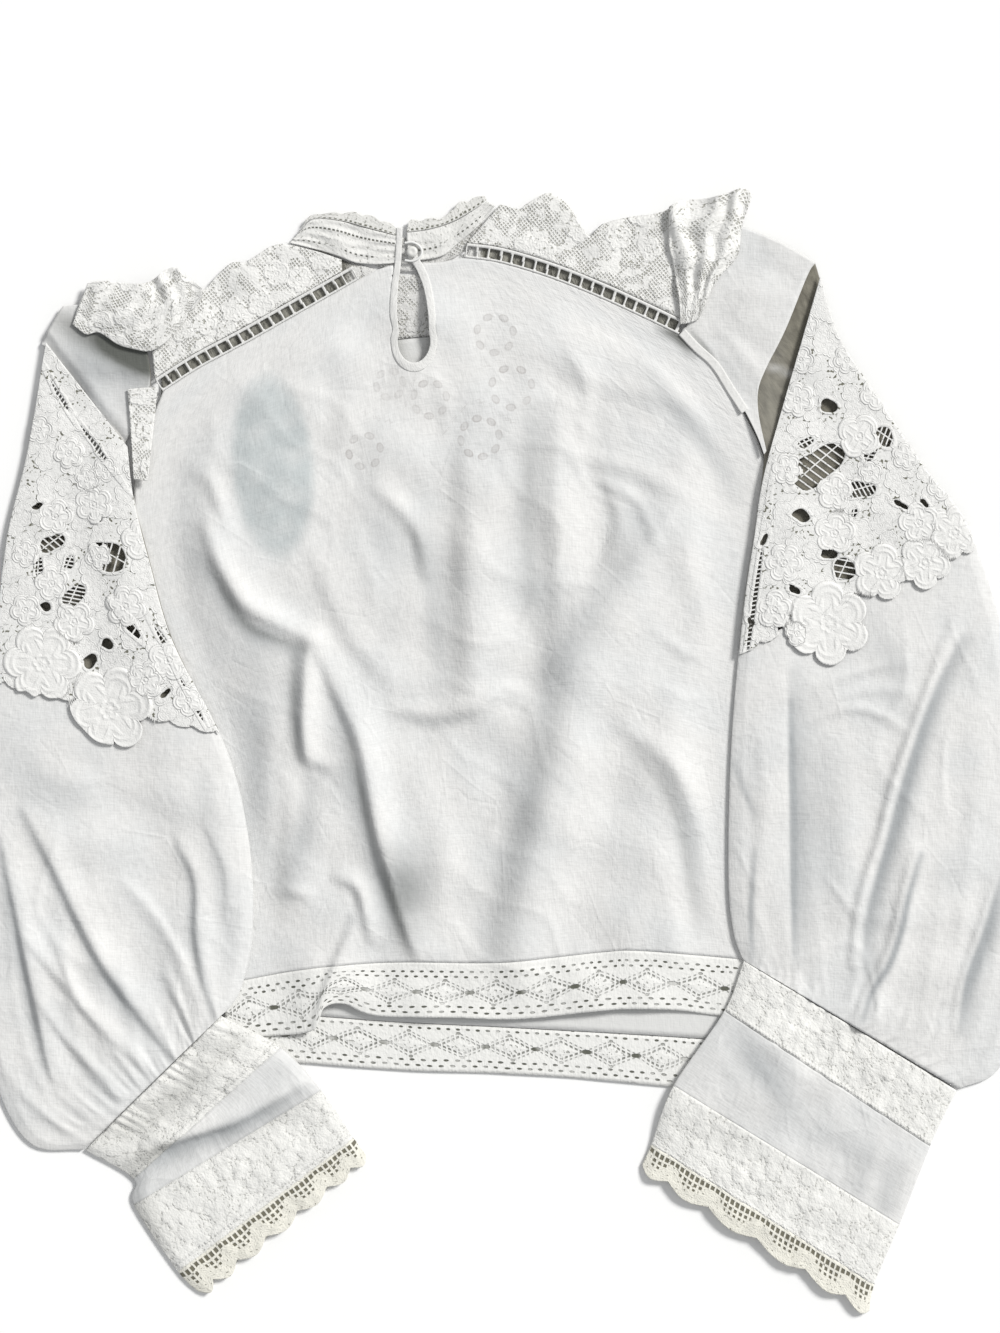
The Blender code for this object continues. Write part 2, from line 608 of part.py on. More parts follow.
def ruffles():
    """Lace ruffles over the shoulder seams: three or four soft flutes each."""
    def over(x, y, u, v):
        flute = 0.5 - 0.5 * np.cos(2 * math.pi * 4 * u)
        roll = np.sin(math.pi * np.clip(v, 0, 1)) * 2.5
        return OVER_BODY + 0.8 + ease(4 * u * (1 - u)) * (0.4 + 2.6 * flute * v + roll)

    def fan(x, y, u, v):
        flute = 0.5 - 0.5 * np.cos(2 * math.pi * 3 * u)
        return OVER_BODY + 0.8 + ease(v * 2) * 3.6 * flute

    sheet("ruffle_left", between(RUFFLE_LEFT_LOW, RUFFLE_LEFT_TOP), (18, 4), over, LACE)
    plan = panel(RUFFLE_RIGHT_LOW, RUFFLE_RIGHT_TOP, RUFFLE_RIGHT_INNER, RUFFLE_RIGHT_OUTER)
    sheet("ruffle_right", plan, (12, 6), fan, LACE)


ARMHOLE_RIGHT = [(158, 127), (154, 138), (146.7, 153), (138, 166.5), (128.7, 181), (118, 191), (109, 200.5),
                 (113, 206), (112, 222), (108.5, 248), (105, 274)]
HEAD_RIGHT_OUTER = [(159.4, 129), (155, 150), (154.5, 165), (159, 178), (171, 202), (184, 234), (189, 242)]
HEAD_RIGHT_TOP = [(105, 274), (125, 270), (145, 264), (168, 254), (189, 242)]
HEAD_LEFT_LOW = [(-271.6, 196), (-223, 133)]
HEAD_LEFT_TOP = [(-262, 216), (-232, 219), (-214.5, 218.5)]
HEAD_LEFT_OUTER = [(-271.6, 196), (-268, 206), (-262, 216)]
HEAD_LEFT_INNER = [(-223, 133), (-213.5, 158), (-209.5, 173), (-212.8, 196), (-214.5, 218.5)]
TAPE_LEFT = {"low": [(-219, 112), (-215, 111.5), (-210.5, 111)], "high": [(-223, 166), (-214, 167), (-205, 167)]}


def sleeve_heads():
    """Plain voile at the top of each sleeve, with the tape that covers its seam."""
    def over_under_half(x, y):
        free = ease((outside(x, y, YOKE_AND_RUFFLES) - 2) / 20)
        return surface_under_sleeve(x, y) + LAYER + 0.6 + 3.0 * free
    right = panel([ARMHOLE_RIGHT[0], HEAD_RIGHT_OUTER[0]], HEAD_RIGHT_TOP, ARMHOLE_RIGHT, HEAD_RIGHT_OUTER)
    left = panel(HEAD_LEFT_LOW, HEAD_LEFT_TOP, HEAD_LEFT_OUTER, HEAD_LEFT_INNER)
    sheet("sleeve_head_right", right, (5, 12), over_under_half, VOILE)
    sheet("sleeve_head_left", left, (7, 6), over_under_half, VOILE)
    seam = ARMHOLE_RIGHT[2:7]
    on_top = lambda x, y: surface_under_sleeve(x, y) + OVER_BODY + 0.8
    sheet("armhole_tape_right", between(beside(seam, -2.6), beside(seam, 2.6)), (8, 1), on_top, LACE)
    sheet("armhole_tape_left", between(TAPE_LEFT["low"], TAPE_LEFT["high"]), (3, 8), on_top, LACE)


YOKE_AND_RUFFLES = [(-202, 165), (-209, 187), (-229, 191), (-240, 197), (-258, 203), (-250, 233), (-178, 240),
                    (0, 290), (153, 288), (146, 246), (132, 230), (120, 205), (128, 180), (147, 152),
                    (159, 126), (100, 100), (-200, 100), (-213, 116), (-226, 117), (-224, 168)]


def sleeve_front_halves():
    """The front half of each sleeve top, which lies on the surface under the inserts and heads."""
    end = LACE_END
    right_rows = [row for row in RIGHT_SLEEVE["rows"] if row[0] <= end][::-1]
    left_rows = [row for row in LEFT_SLEEVE["rows"] if row[0] <= end][::-1]
    gap = SEAM
    right_inner = [(row[1], row[2]) for row in right_rows][:-1] + ARMHOLE_RIGHT
    right_outer = [(row[3], row[4]) for row in right_rows][:-1] + [(189, 242)]
    left_inner = [(row[1], row[2]) for row in left_rows][:-1] + HEAD_LEFT_INNER
    left_outer = [(row[3], row[4]) for row in left_rows][:-1] + [(-271, 197), (-262, 216)]
    right = panel([right_inner[0], right_outer[0]], HEAD_RIGHT_TOP, right_inner, right_outer)
    left = panel([left_outer[0], left_inner[0]], HEAD_LEFT_TOP, left_outer, left_inner)
    sheet("sleeve_front_right", right, (8, 11), surface_under_sleeve, VOILE)
    sheet("sleeve_front_left", left, (8, 9), surface_under_sleeve, VOILE)


def flower_relief(table, plan, start, end):
    """Height of the appliqué flowers on an insert, at u, v of its grid."""
    centres = [(plan(np.array([a]), np.array([(s - start) / (end - start)]))[0], r, h)
               for a, s, r, h in table["rows"]]

    def relief(u, v):
        xy = plan(u, v)
        total = np.zeros(len(u))
        for centre, radius, height in centres:
            away = np.linalg.norm(xy - centre, axis=1)
            total = np.maximum(total, height * ease((radius - away) / 5))
        return total
    return relief


def insert_end(table, across, bulge):
    """How far along the sleeve the insert reaches at each place across, past its seam where a flower lies."""
    reach = np.full(len(across), LACE_END + 0.008)
    for a, s, radius, _ in table["rows"]:
        lobe = 1 - ((across - a) / (radius / 145)) ** 2
        reach = np.maximum(reach, s + bulge * radius * np.sqrt(np.clip(lobe, 0, 1)))
    return reach


def inserts():
    """Guipure inserts on the back of each sleeve, their flowers raised and their net cut through."""
    for side, table, flowers, gaps in (("right", RIGHT_SLEEVE, RIGHT_FLOWERS, RIGHT_GAPS),
                                       ("left", LEFT_SLEEVE, LEFT_FLOWERS, LEFT_GAPS)):
        whole = stations(table, 0.0, 1.0)
        start = 0.012

        def plan(u, v, whole=whole, flowers=flowers):
            """v runs from the insert's foot up to the sleeve head."""
            foot = insert_end(flowers, u, 0.0027)
            return whole(u, foot + (start - foot) * v)

        def over_sleeve(x, y, u, v, flowers=flowers, side=side):
            foot = insert_end(flowers, u, 0.0027)
            along = foot + (start - foot) * v
            return surface_under_sleeve(x, y) + puff_height(side, u, along) + REST

        relief = flower_relief(flowers, whole, 0.0, 1.0)
        lifted = lambda u, v, flowers=flowers, relief=relief: relief(
            u, insert_end(flowers, u, 0.0027) + (start - insert_end(flowers, u, 0.0027)) * v)
        sheet(f"guipure_insert_{side}", plan, INSERT_CELLS, over_sleeve, LACE, lifted, gaps, 1.6)


PUFF_RISE_AT = [0.0, 0.1, 0.38, 0.55, 0.75, 0.9, 1.0]
PUFF_RISE = [0.3, 1.2, 1.8, 2.6, 3.2, 2.2, 1.0]


def puff_height(side, u, along):
    """Height of the top of a sleeve over what it lies on: its two walls, its fullness and its gathers."""
    walls = 2 * CLOTH + REST
    dome = np.sqrt(np.clip(4 * u * (1 - u), 0, 1))
    total = walls + np.interp(along, PUFF_RISE_AT, PUFF_RISE) * dome
    rows = np.array((RIGHT_SLEEVE if side == "right" else LEFT_SLEEVE)["rows"], float)
    width = np.interp(along, rows[:, 0], np.hypot(rows[:, 3] - rows[:, 1], rows[:, 4] - rows[:, 2]))
    for at_cuff, at_top, dies_at, half_width, height in (
            RIGHT_GATHERS if side == "right" else LEFT_GATHERS)["rows"]:
        t = np.clip((1 - along) / (1 - dies_at), 0, 1)
        away = (u - (at_cuff + (at_top - at_cuff) * t)) * width
        grown = ease((1 - t) / 0.75) * (0.45 + 0.55 * ease((1 - along) / 0.08))
        total = total + height * grown * dome * np.exp(-(away / half_width) ** 2)
    return total


def puffs():
    """Full voile puffs, flattened tubes gathered into the cuffs."""
    for side, table in (("right", RIGHT_SLEEVE), ("left", LEFT_SLEEVE)):
        start, end = LACE_END + 0.002, 1.0 - 0.0016
        plan = stations(table, start, end)
        height = lambda u, v, side=side: puff_height(side, u, start + v * (end - start))
        tube(f"sleeve_puff_{side}", plan, (24, 4, 11), height, VOILE)


CUFF_RISE = 1.1
BAND_NAMES = ["cuff_top_lace", "cuff_band", "cuff_lower_lace", "cuff_edging"]


def cuffs():
    """Each cuff: lace, plain voile, lace and a scalloped edging, all flattened tubes sewn in a row."""
    for side, table in (("right", RIGHT_CUFF), ("left", LEFT_CUFF)):
        rows = np.array(table["rows"], float)
        for k, band in enumerate(BAND_NAMES):
            depth = np.linalg.norm((rows[k + 1] - rows[k])[:2])
            trim = SEAM / depth
            edge = k == len(BAND_NAMES) - 1
            straight = stations(table, k + trim, k + 1)
            lobed = lambda u, v, straight=straight, lobes=CUFF_LOBES[side]: straight(
                u, v * (0.72 + 0.28 * np.abs(np.sin(lobes * math.pi * u))))
            height = lambda u, v: 2 * CLOTH + REST + CUFF_RISE * np.clip(4 * u * (1 - u), 0, 1) ** 0.5
            cells = (28, 28, 1) if edge else (10, 4, 3)
            tube(f"{band}_{side}", lobed if edge else straight, cells, height, VOILE if band == "cuff_band" else LACE)


for old in list(bpy.data.objects):
    bpy.data.objects.remove(old)
GARMENT = bpy.data.collections.new("blouse")
CUTTERS = bpy.data.collections.new("cutters")
for collection in (GARMENT, CUTTERS):
    bpy.context.scene.collection.children.link(collection)
CARRIER = bpy.data.objects.new("blouse_plan", None)
CARRIER.location = (-PLAN_CENTRE[0] * MM, -PLAN_CENTRE[1] * MM, 0)
GARMENT.objects.link(CARRIER)

front_body()
back_body()
keyhole_binding()
back_hem_lace()
yoke()
collar()
closure()
sleeve_front_halves()
sleeve_heads()
ruffles()
inserts()
puffs()
cuffs()
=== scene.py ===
import math

import bmesh
import bpy
import numpy as np
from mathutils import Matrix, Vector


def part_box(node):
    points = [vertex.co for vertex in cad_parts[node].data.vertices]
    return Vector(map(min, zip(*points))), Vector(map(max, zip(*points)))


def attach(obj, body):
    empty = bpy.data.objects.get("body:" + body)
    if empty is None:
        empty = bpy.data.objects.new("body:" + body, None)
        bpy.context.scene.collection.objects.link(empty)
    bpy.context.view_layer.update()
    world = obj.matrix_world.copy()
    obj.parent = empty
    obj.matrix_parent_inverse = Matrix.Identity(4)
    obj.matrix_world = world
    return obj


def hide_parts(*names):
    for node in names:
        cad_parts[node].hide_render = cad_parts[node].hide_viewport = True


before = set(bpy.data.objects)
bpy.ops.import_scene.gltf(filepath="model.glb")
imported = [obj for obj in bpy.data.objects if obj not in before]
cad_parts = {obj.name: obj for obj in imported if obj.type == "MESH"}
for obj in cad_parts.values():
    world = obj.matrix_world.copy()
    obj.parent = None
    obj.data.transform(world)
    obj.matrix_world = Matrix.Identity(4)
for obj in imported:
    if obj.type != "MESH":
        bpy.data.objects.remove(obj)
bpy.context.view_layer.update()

MM = 0.001
PLAN_CENTRE = (2.5, -50.2)     # millimetres: the middle of the laid-out blouse in its own plan

# The table it is laid on
# A plain matt white board, much larger than the blouse, seen from straight above in daylight that falls
# across the cloth from the top right and leaves soft shadows to its left.
bpy.ops.mesh.primitive_grid_add(x_subdivisions=4, y_subdivisions=4, size=6, location=(0, 0, -0.0006))
board = bpy.context.object
board.name = "board"
paint = bpy.data.materials.new("board_paint")
paint.use_nodes = True
for socket, value in (("Base Color", (0.93, 0.93, 0.93, 1)), ("Roughness", 1.0), ("Specular IOR Level", 0.0)):
    paint.node_tree.nodes["Principled BSDF"].inputs[socket].default_value = value
board.data.materials.append(paint)
bpy.context.scene.view_settings.view_transform = "Standard"

sky = bpy.data.worlds.new("daylight")
sky.use_nodes = True
for socket, value in (("Color", (0.97, 0.985, 1.0, 1)), ("Strength", 0.46)):
    sky.node_tree.nodes["Background"].inputs[socket].default_value = value
bpy.context.scene.world = sky

window = bpy.data.lights.new("window_light", "SUN")
window.energy = 3.2
window.angle = math.radians(16)
window.color = (1.0, 0.99, 0.965)
lamp = bpy.data.objects.new("window_light", window)
lamp.rotation_euler = (0, math.radians(51), math.radians(38))
bpy.context.scene.collection.objects.link(lamp)

CAMERA_HEIGHT, SEEN_HEIGHT = 2.2, 0.8     # metres: above the table, and of the table that the frame takes in
FRAME_MIDDLE = (0.0, 0.1)                 # millimetres, in the plan
SENSOR = 24
lens = bpy.data.cameras.new("overhead_camera")
lens.sensor_fit = "VERTICAL"
lens.sensor_height = SENSOR
lens.lens = SENSOR * CAMERA_HEIGHT / SEEN_HEIGHT
camera = bpy.data.objects.new("overhead_camera", lens)
camera.location = ((FRAME_MIDDLE[0] - PLAN_CENTRE[0]) * MM, (FRAME_MIDDLE[1] - PLAN_CENTRE[1]) * MM,
                   CAMERA_HEIGHT)
bpy.context.scene.collection.objects.link(camera)
bpy.context.scene.camera = camera

# The front of the body
# Plain cotton voile cut in one piece, face down on the table, with a lace yoke, a lace collar and a
# lace hem sewn to it. Only its hem and what the keyhole uncovers show.


class Value:
    """A node's output, so that finishes are written as sums."""

    def __init__(self, finish, socket):
        self.finish, self.socket = finish, socket

    def math(self, operation, *terms):
        return self.finish.node("ShaderNodeMath", {"operation": operation}, dict(enumerate(terms)))

    def __add__(self, other): return self.math("ADD", self, other)
    def __radd__(self, other): return self.math("ADD", other, self)
    def __sub__(self, other): return self.math("SUBTRACT", self, other)
    def __rsub__(self, other): return self.math("SUBTRACT", other, self)
    def __mul__(self, other): return self.math("MULTIPLY", self, other)
    def __rmul__(self, other): return self.math("MULTIPLY", other, self)
    def __truediv__(self, other): return self.math("DIVIDE", self, other)
    def __pow__(self, other): return self.math("POWER", self, other)
    def __abs__(self): return self.math("ABSOLUTE", self)

    def below(self, edge, soft):
        """1 where the value is under the edge and 0 above it, with a soft change."""
        return self.finish.node("ShaderNodeMapRange", {"interpolation_type": "SMOOTHSTEP"},
                                {0: self, 1: edge - soft, 2: edge + soft, 3: 1.0, 4: 0.0})

    def above(self, edge): return self.math("GREATER_THAN", self, edge)
    def most(self, other): return self.math("MAXIMUM", self, other)
    def part(self): return self.math("FRACT", self)
    def sine(self): return self.math("SINE", self)
    def cosine(self): return self.math("COSINE", self)
    def output(self, number): return Value(self.finish, self.socket.node.outputs[number])


class Finish:
    """A cloth's material while it is being made."""

    def __init__(self, name, roughness=0.9, sheen=0.25):
        self.material = bpy.data.materials.new(name)
        self.material.use_nodes = True
        self.tree = self.material.node_tree
        self.shader = self.tree.nodes["Principled BSDF"]
        self.shader.inputs["Roughness"].default_value = roughness
        self.shader.inputs["Sheen Weight"].default_value = sheen
        self.shader.inputs["Sheen Roughness"].default_value = 0.5
        self.shader.inputs["Specular IOR Level"].default_value = 0.25

    def node(self, kind, settings=(), sockets=(), gives=0):
        made = self.tree.nodes.new(kind)
        for key, value in dict(settings).items():
            setattr(made, key, value)
        for key, value in dict(sockets).items():
            if isinstance(value, Value):
                self.tree.links.new(value.socket, made.inputs[key])
            else:
                made.inputs[key].default_value = value
        return Value(self, made.outputs[gives])

    def mix(self, share, a, b):
        """Colour a where share is 0 and colour b where it is 1."""
        whole = [c if isinstance(c, Value) else (*c, 1) for c in (a, b)]
        return self.node("ShaderNodeMix", {"data_type": "RGBA"}, {0: share, 6: whole[0], 7: whole[1]}, 2)

    def mark(self, name):
        return self.node("ShaderNodeAttribute", {"attribute_name": name}, gives=2)

    def along(self):
        """How far along and across the cloth, in millimetres, as two values and a vector."""
        uv = self.node("ShaderNodeUVMap", {"uv_map": "mm"})
        scaled = self.node("ShaderNodeVectorMath", {"operation": "SCALE"}, {0: uv, 3: 1000.0})
        s = self.node("ShaderNodeSeparateXYZ", sockets={0: scaled})
        return s, s.output(1), scaled

    def noise(self, vector, size, detail=2.0, stretch=(1, 1, 1), distortion=0.0):
        """Noise whose lumps are about that many millimetres across."""
        at = self.node("ShaderNodeVectorMath", {"operation": "MULTIPLY"},
                       {0: vector, 1: tuple(k / size for k in stretch)})
        return self.node("ShaderNodeTexNoise", sockets={"Vector": at, "Scale": 1.0, "Detail": detail,
                                                        "Distortion": distortion})

    def scatter(self, vector, size, randomness):
        """Motifs strewn that many millimetres apart: x and y from the middle of the nearest, its number."""
        at = self.node("ShaderNodeVectorMath", {"operation": "SCALE"}, {0: vector, 3: 1 / size})
        cell = self.node("ShaderNodeTexVoronoi", {"voronoi_dimensions": "2D", "feature": "F1"},
                         {"Vector": at, "Scale": 1.0, "Randomness": randomness}, 2)
        away = self.node("ShaderNodeVectorMath", {"operation": "SUBTRACT"}, {0: at, 1: cell})
        x = self.node("ShaderNodeSeparateXYZ", sockets={0: away})
        own = self.node("ShaderNodeSeparateColor", sockets={0: cell.output(1)})
        return x * size, x.output(1) * size, own

    def rosette(self, x, y, size, petals, turn):
        """The raised cords of a stitched flower, and how far out a point is, 1 on its scalloped edge."""
        r = (x * x + y * y) ** 0.5
        half = (y.math("ARCTAN2", y, x) + turn) * petals * 0.5
        lobe = abs(half.cosine())
        out = r / size / (lobe ** 0.6 * 0.27 + 0.73)
        axis = abs(half.sine()) * r * 2.0 / petals
        edges = abs(out - 0.93).below(0.05, 0.05).most(abs(out - 0.74).below(0.035, 0.05) * 0.8)
        loops = abs(axis - 0.13 * size).below(0.03 * size, 0.5) * abs(out - 0.43).below(0.20, 0.05)
        heart = abs(out - 0.20).below(0.03, 0.05).most(out.below(0.07, 0.04))
        return edges.most(loops * 0.8).most(heart * 0.9), out

    def crumple(self, vector, size):
        """Thin pressed-in creases, strong in some places and absent in others."""
        bent = self.node("ShaderNodeVectorMath", {"operation": "SCALE"}, {0: vector, 3: 1 / size})
        line = self.node("ShaderNodeTexVoronoi", {"voronoi_dimensions": "2D", "feature": "DISTANCE_TO_EDGE"},
                         {"Vector": bent, "Scale": 1.0, "Randomness": 1.0})
        return (line * size).below(0.5, 1.6) * self.noise(vector, size * 1.1, 0.0).below(0.43, 0.12)

    def threads(self, vector):
        """The fine weave of voile: long thin unevenness both ways."""
        return self.noise(vector, 1.1, 1.0, (1, 0.16, 1)) + self.noise(vector, 1.1, 1.0, (0.16, 1, 1))

    def wear(self, colour, height=None, alpha=None):
        """Puts the colour, the relief in millimetres and how solid the cloth is on the shader."""
        self.tree.links.new(colour.socket, self.shader.inputs["Base Color"])
        if height is not None:
            bump = self.node("ShaderNodeBump", sockets={"Height": height, "Distance": MM, "Strength": 1.0})
            self.tree.links.new(bump.socket, self.shader.inputs["Normal"])
        if alpha is not None:
            self.tree.links.new(alpha.socket, self.shader.inputs["Alpha"])
        return self.material


def smooth(points, t):
    """A soft curve through the points, at each t from 0 to 1 of its length."""
    p = np.array(points, float)
    if len(p) == 2:
        return p[0] + np.asarray(t)[:, None] * (p[1] - p[0])
    along = np.concatenate([[0], np.cumsum(np.linalg.norm(np.diff(p, axis=0), axis=1))])
    where = np.clip(np.asarray(t, float), 0, 1) * along[-1]
    i = np.clip(np.searchsorted(along, where, side="right") - 1, 0, len(p) - 2)
    q = np.vstack([2 * p[0] - p[1], p, 2 * p[-1] - p[-2]])
    s = ((where - along[i]) / (along[i + 1] - along[i]))[:, None]
    a, b, c, d = q[i], q[i + 1], q[i + 2], q[i + 3]
    return 0.5 * (2 * b + (c - a) * s + (2 * a - 5 * b + 4 * c - d) * s**2 + (3 * b - a - 3 * c + d) * s**3)


def ease(t):
    """A soft change from 0 to 1."""
    t = np.clip(t, 0, 1)
    return t * t * (3 - 2 * t)


def beside(points, distance):
    """The line moved sideways by that distance, to the left of its run."""
    p = np.array(points, float)
    run = np.gradient(p, axis=0)
    run /= np.linalg.norm(run, axis=1)[:, None]
    return p + distance * np.column_stack([-run[:, 1], run[:, 0]])


def strip(low, high):
    """A length of tape or lace between two curved edges."""
    return lambda u, v: (1 - v)[:, None] * smooth(low, u) + v[:, None] * smooth(high, u)


def panel(low, high, left, right):
    """A cut panel with four curved edges."""
    def place(u, v):
        a, b = u[:, None], v[:, None]
        corners = ((1 - a) * (1 - b) * np.array(low[0], float) + a * (1 - b) * np.array(low[-1], float)
                   + (1 - a) * b * np.array(high[0], float) + a * b * np.array(high[-1], float))
        return ((1 - b) * smooth(low, u) + b * smooth(high, u)
                + (1 - a) * smooth(left, v) + a * smooth(right, v) - corners)
    return place


UPPER_SHARE = 0.86


def around(k):
    """Across a flattened tube, from 0 to 1, for k from 0 to 1 over its upper side and back underneath."""
    upper = k <= UPPER_SHARE
    share = np.clip(np.where(upper, k / UPPER_SHARE, (1 - k) / (1 - UPPER_SHARE)), 0, 1)
    return 0.55 * (0.5 - 0.5 * np.cos(math.pi * share)) + 0.45 * share, share, upper


def cloth(name, place, grain, top, finish, node, wall=0.8, marks=None, closed=False, keep=None,
          planar=False):
    """A thin shell of cloth: a fine grid laid over its plan, raised to its upper side and given a wall.

    grain is the size of the grid's cells and wall the thickness, both in millimetres. closed makes a flat
    tube. keep says which points stay. marks are numbers kept on the points for the finish, which follows the
    piece's own edges or, where planar, the plan.
    """
    ends = place(np.array([0, 1, .5, .5, .5, 0, 1]), np.array([.5, .5, 0, 1, .5, 0, 0]))
    width = np.linalg.norm(ends[0] - ends[4]) + np.linalg.norm(ends[1] - ends[4])
    width = max(width, np.linalg.norm(ends[5] - ends[6]))
    length = np.linalg.norm(ends[2] - ends[4]) + np.linalg.norm(ends[3] - ends[4])
    if closed:
        width = 2 * width
    bm = bmesh.new()
    bmesh.ops.create_grid(bm, x_segments=max(2, round(width / grain)),
                          y_segments=max(1, round(length / grain)), size=0.5)
    mesh = bpy.data.meshes.new(name)
    bm.to_mesh(mesh)
    bm.free()
    co = np.empty(len(mesh.vertices) * 3)
    mesh.vertices.foreach_get("co", co)
    u, v = co.reshape(-1, 3)[:, 0] + 0.5, co.reshape(-1, 3)[:, 1] + 0.5
    if closed:
        x, y, z = top(u, v)
    else:
        x, y = place(u, v).T
        z = top(x, y, u, v)
    world = np.column_stack([x - PLAN_CENTRE[0], y - PLAN_CENTRE[1], z]) * MM
    mesh.vertices.foreach_set("co", world.ravel())
    corner = np.empty(len(mesh.loops), int)
    mesh.loops.foreach_get("vertex_index", corner)
    layer = mesh.uv_layers.new(name="mm")
    sideways = u * width
    if closed:
        half, _, upper = around(u)
        sideways = np.where(upper, half, 2 - half) * width / 2
    spread = np.column_stack([x, y] if planar else [sideways, v * length])
    layer.data.foreach_set("uv", (spread[corner] * MM).ravel())
    for key, rule in (marks or {}).items():
        mesh.attributes.new(key, "FLOAT", "POINT").data.foreach_set("value", rule(x, y, u, v).astype(float))
    bm = bmesh.new()
    bm.from_mesh(mesh)
    if keep is not None:
        gone = ~keep(x, y, u, v)
        bm.verts.ensure_lookup_table()
        bmesh.ops.delete(bm, geom=[bm.verts[k] for k in np.flatnonzero(gone)], context="VERTS")
    if closed:
        bmesh.ops.remove_doubles(bm, verts=bm.verts[:], dist=1e-6)
        bmesh.ops.recalc_face_normals(bm, faces=bm.faces[:])
    elif sum(f.normal.z * f.calc_area() for f in bm.faces) < 0:
        bmesh.ops.reverse_faces(bm, faces=bm.faces[:])
    bm.to_mesh(mesh)
    bm.free()
    mesh.shade_smooth()
    mesh.materials.append(finish)
    made = bpy.data.objects.new(name, mesh)
    bpy.context.scene.collection.objects.link(made)
    thick = made.modifiers.new("wall", "SOLIDIFY")
    thick.thickness = wall * MM
    thick.offset = -1
    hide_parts(node)
    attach(made, "root")
    return made


VOILE_WARM, VOILE_COOL, VOILE_PATCH_SHADE = (0.735, 0.73, 0.72), (0.675, 0.685, 0.688), (0.515, 0.548, 0.553)
VOILE_SHADE, VOILE_DEEP, VOILE_GHOST = (0.36, 0.375, 0.385), (0.11, 0.115, 0.105), (0.46, 0.44, 0.43)


def voile(name):
    """White cotton voile: a fine uneven weave, slubs and small pressed-in creases, cool in its shadows.

    Marks paint shade along folds and as a cooler patch; they tone it where leaves on a layer below show
    through.
    """
    f = Finish(name)
    at = f.along()[2]
    thread = f.threads(at)
    slub = f.noise(at, 5.0, 3.0)
    weave = (thread - 1.0) * 0.12 + (slub - 0.5) * 0.12 + 1.0
    colour = f.mix(f.noise(at, 46.0, 2.0).below(0.47, 0.16) * 0.6, VOILE_WARM, VOILE_COOL)
    # painted shade: a cooler patch, the shade along folds and the deepest shade in them
    for mark, tone in (("painted_shade_patch", VOILE_PATCH_SHADE), ("shade", VOILE_SHADE), ("deep_shade", VOILE_DEEP)):
        colour = f.mix(f.mark(mark), colour, tone)
    x, y, ring, leaves = (f.mark(key) for key in ("ghost_x", "ghost_y", "ghost_ring", "ghost_leaves"))
    turn = (y.math("ARCTAN2", y, x) * leaves / (2 * math.pi) + 0.3).part() - 0.5
    across = turn * ring * 2 * math.pi / leaves / 3.3
    leaf = (across * across + (((x * x + y * y) ** 0.5 - ring) / 2.3) ** 2) ** 0.5
    spots = (leaf.below(0.95, 0.18) * 0.55 + abs(leaf - 0.8).below(0.14, 0.12) * 0.45) * f.mark("ghost")
    colour = f.mix(spots * f.noise(at, 10.0, 1.0) * 1.3, colour, VOILE_GHOST)
    colour = f.node("ShaderNodeVectorMath", {"operation": "SCALE"}, {0: colour, 3: weave})
    creased = f.crumple(at, 38.0) * 0.2 - f.crumple(at, 24.0) * 0.16 + f.noise(at, 9.0, 2.0) * 0.5
    return f.wear(colour, thread * 0.14 + slub * 0.4 + creased)


LAYER, CLOTH = 1.7, 1.3      # millimetres: what the front takes up under the back, and one layer of cloth
FRONT_HEIGHT = 1.25          # the upper side of what lies face down on the table
SEAM_GAP = 0.45
FRONT_TOP = [(-203, 160), (-150, 176), (-100, 190), (-51, 197), (0, 200), (60, 196), (109, 190)]
FRONT_LOW = [(-160, -205), (-115, -209), (-61, -213), (0, -216), (72, -220), (120, -223), (155, -226)]
FRONT_HEM = [(-157, -236), (-115, -238), (-61, -242), (0, -244), (36, -246), (72, -249), (103, -252),
             (155, -255)]
FRONT_LEFT = [(-160, -205), (-168, -100), (-183, -45), (-197, -10), (-213, 40), (-219, 80), (-217, 125),
              (-203, 160)]
FRONT_RIGHT = [(155, -226), (151, -80), (154, -20), (161, 40), (166, 90), (158, 126), (146, 152), (128, 178),
               (109, 190)]
FRONT_NECK = [(-203, 212), (-170, 223), (-140, 238), (-112, 248), (-85, 241), (-55, 235), (-30, 242),
              (-8, 258), (12, 268), (30, 272), (60, 256), (90, 262), (101, 266)]


def shaded_voile(name, bright, dark):
    """Voile whose inner side is painted with the shade inside the garment, except where a mark says that it
    shows.
    """
    f = Finish(name)
    at = f.along()[2]
    # painted shade: an uneven dark tone for the inside of the garment
    deep = f.mix(f.noise(at, 9.0, 2.0), tuple(0.45 * c for c in dark), tuple(1.9 * c for c in dark))
    return f.wear(f.mix(f.mark("shows"), deep, bright), f.threads(at) * 0.1 + f.noise(at, 6.0, 2.0) * 0.3)


def flat_front(x, y, u, v):
    return np.full(len(x), FRONT_HEIGHT)


def hem_strip(x, y, u, v):
    """1 where the painted shade is lifted: along the bottom of the front, where it reaches below the back,
    and in the foot of the keyhole.
    """
    hem = ease((-196 - y) / 4)
    keyhole = np.exp(-((x + 51) / 14) ** 2) * ease((y - 170) / 6) * ease((236 - y) / 6)
    return np.clip(hem + keyhole, 0, 1)


# the front is painted with shade wherever the back covers it
inside_front = shaded_voile("front_voile", (0.70, 0.70, 0.69), (0.13, 0.135, 0.12))
front = cloth("front_panel", panel(FRONT_LOW, FRONT_TOP, FRONT_LEFT, FRONT_RIGHT), 3.5,
              flat_front, inside_front, "front_body", wall=1.1, marks={"shows": hem_strip})


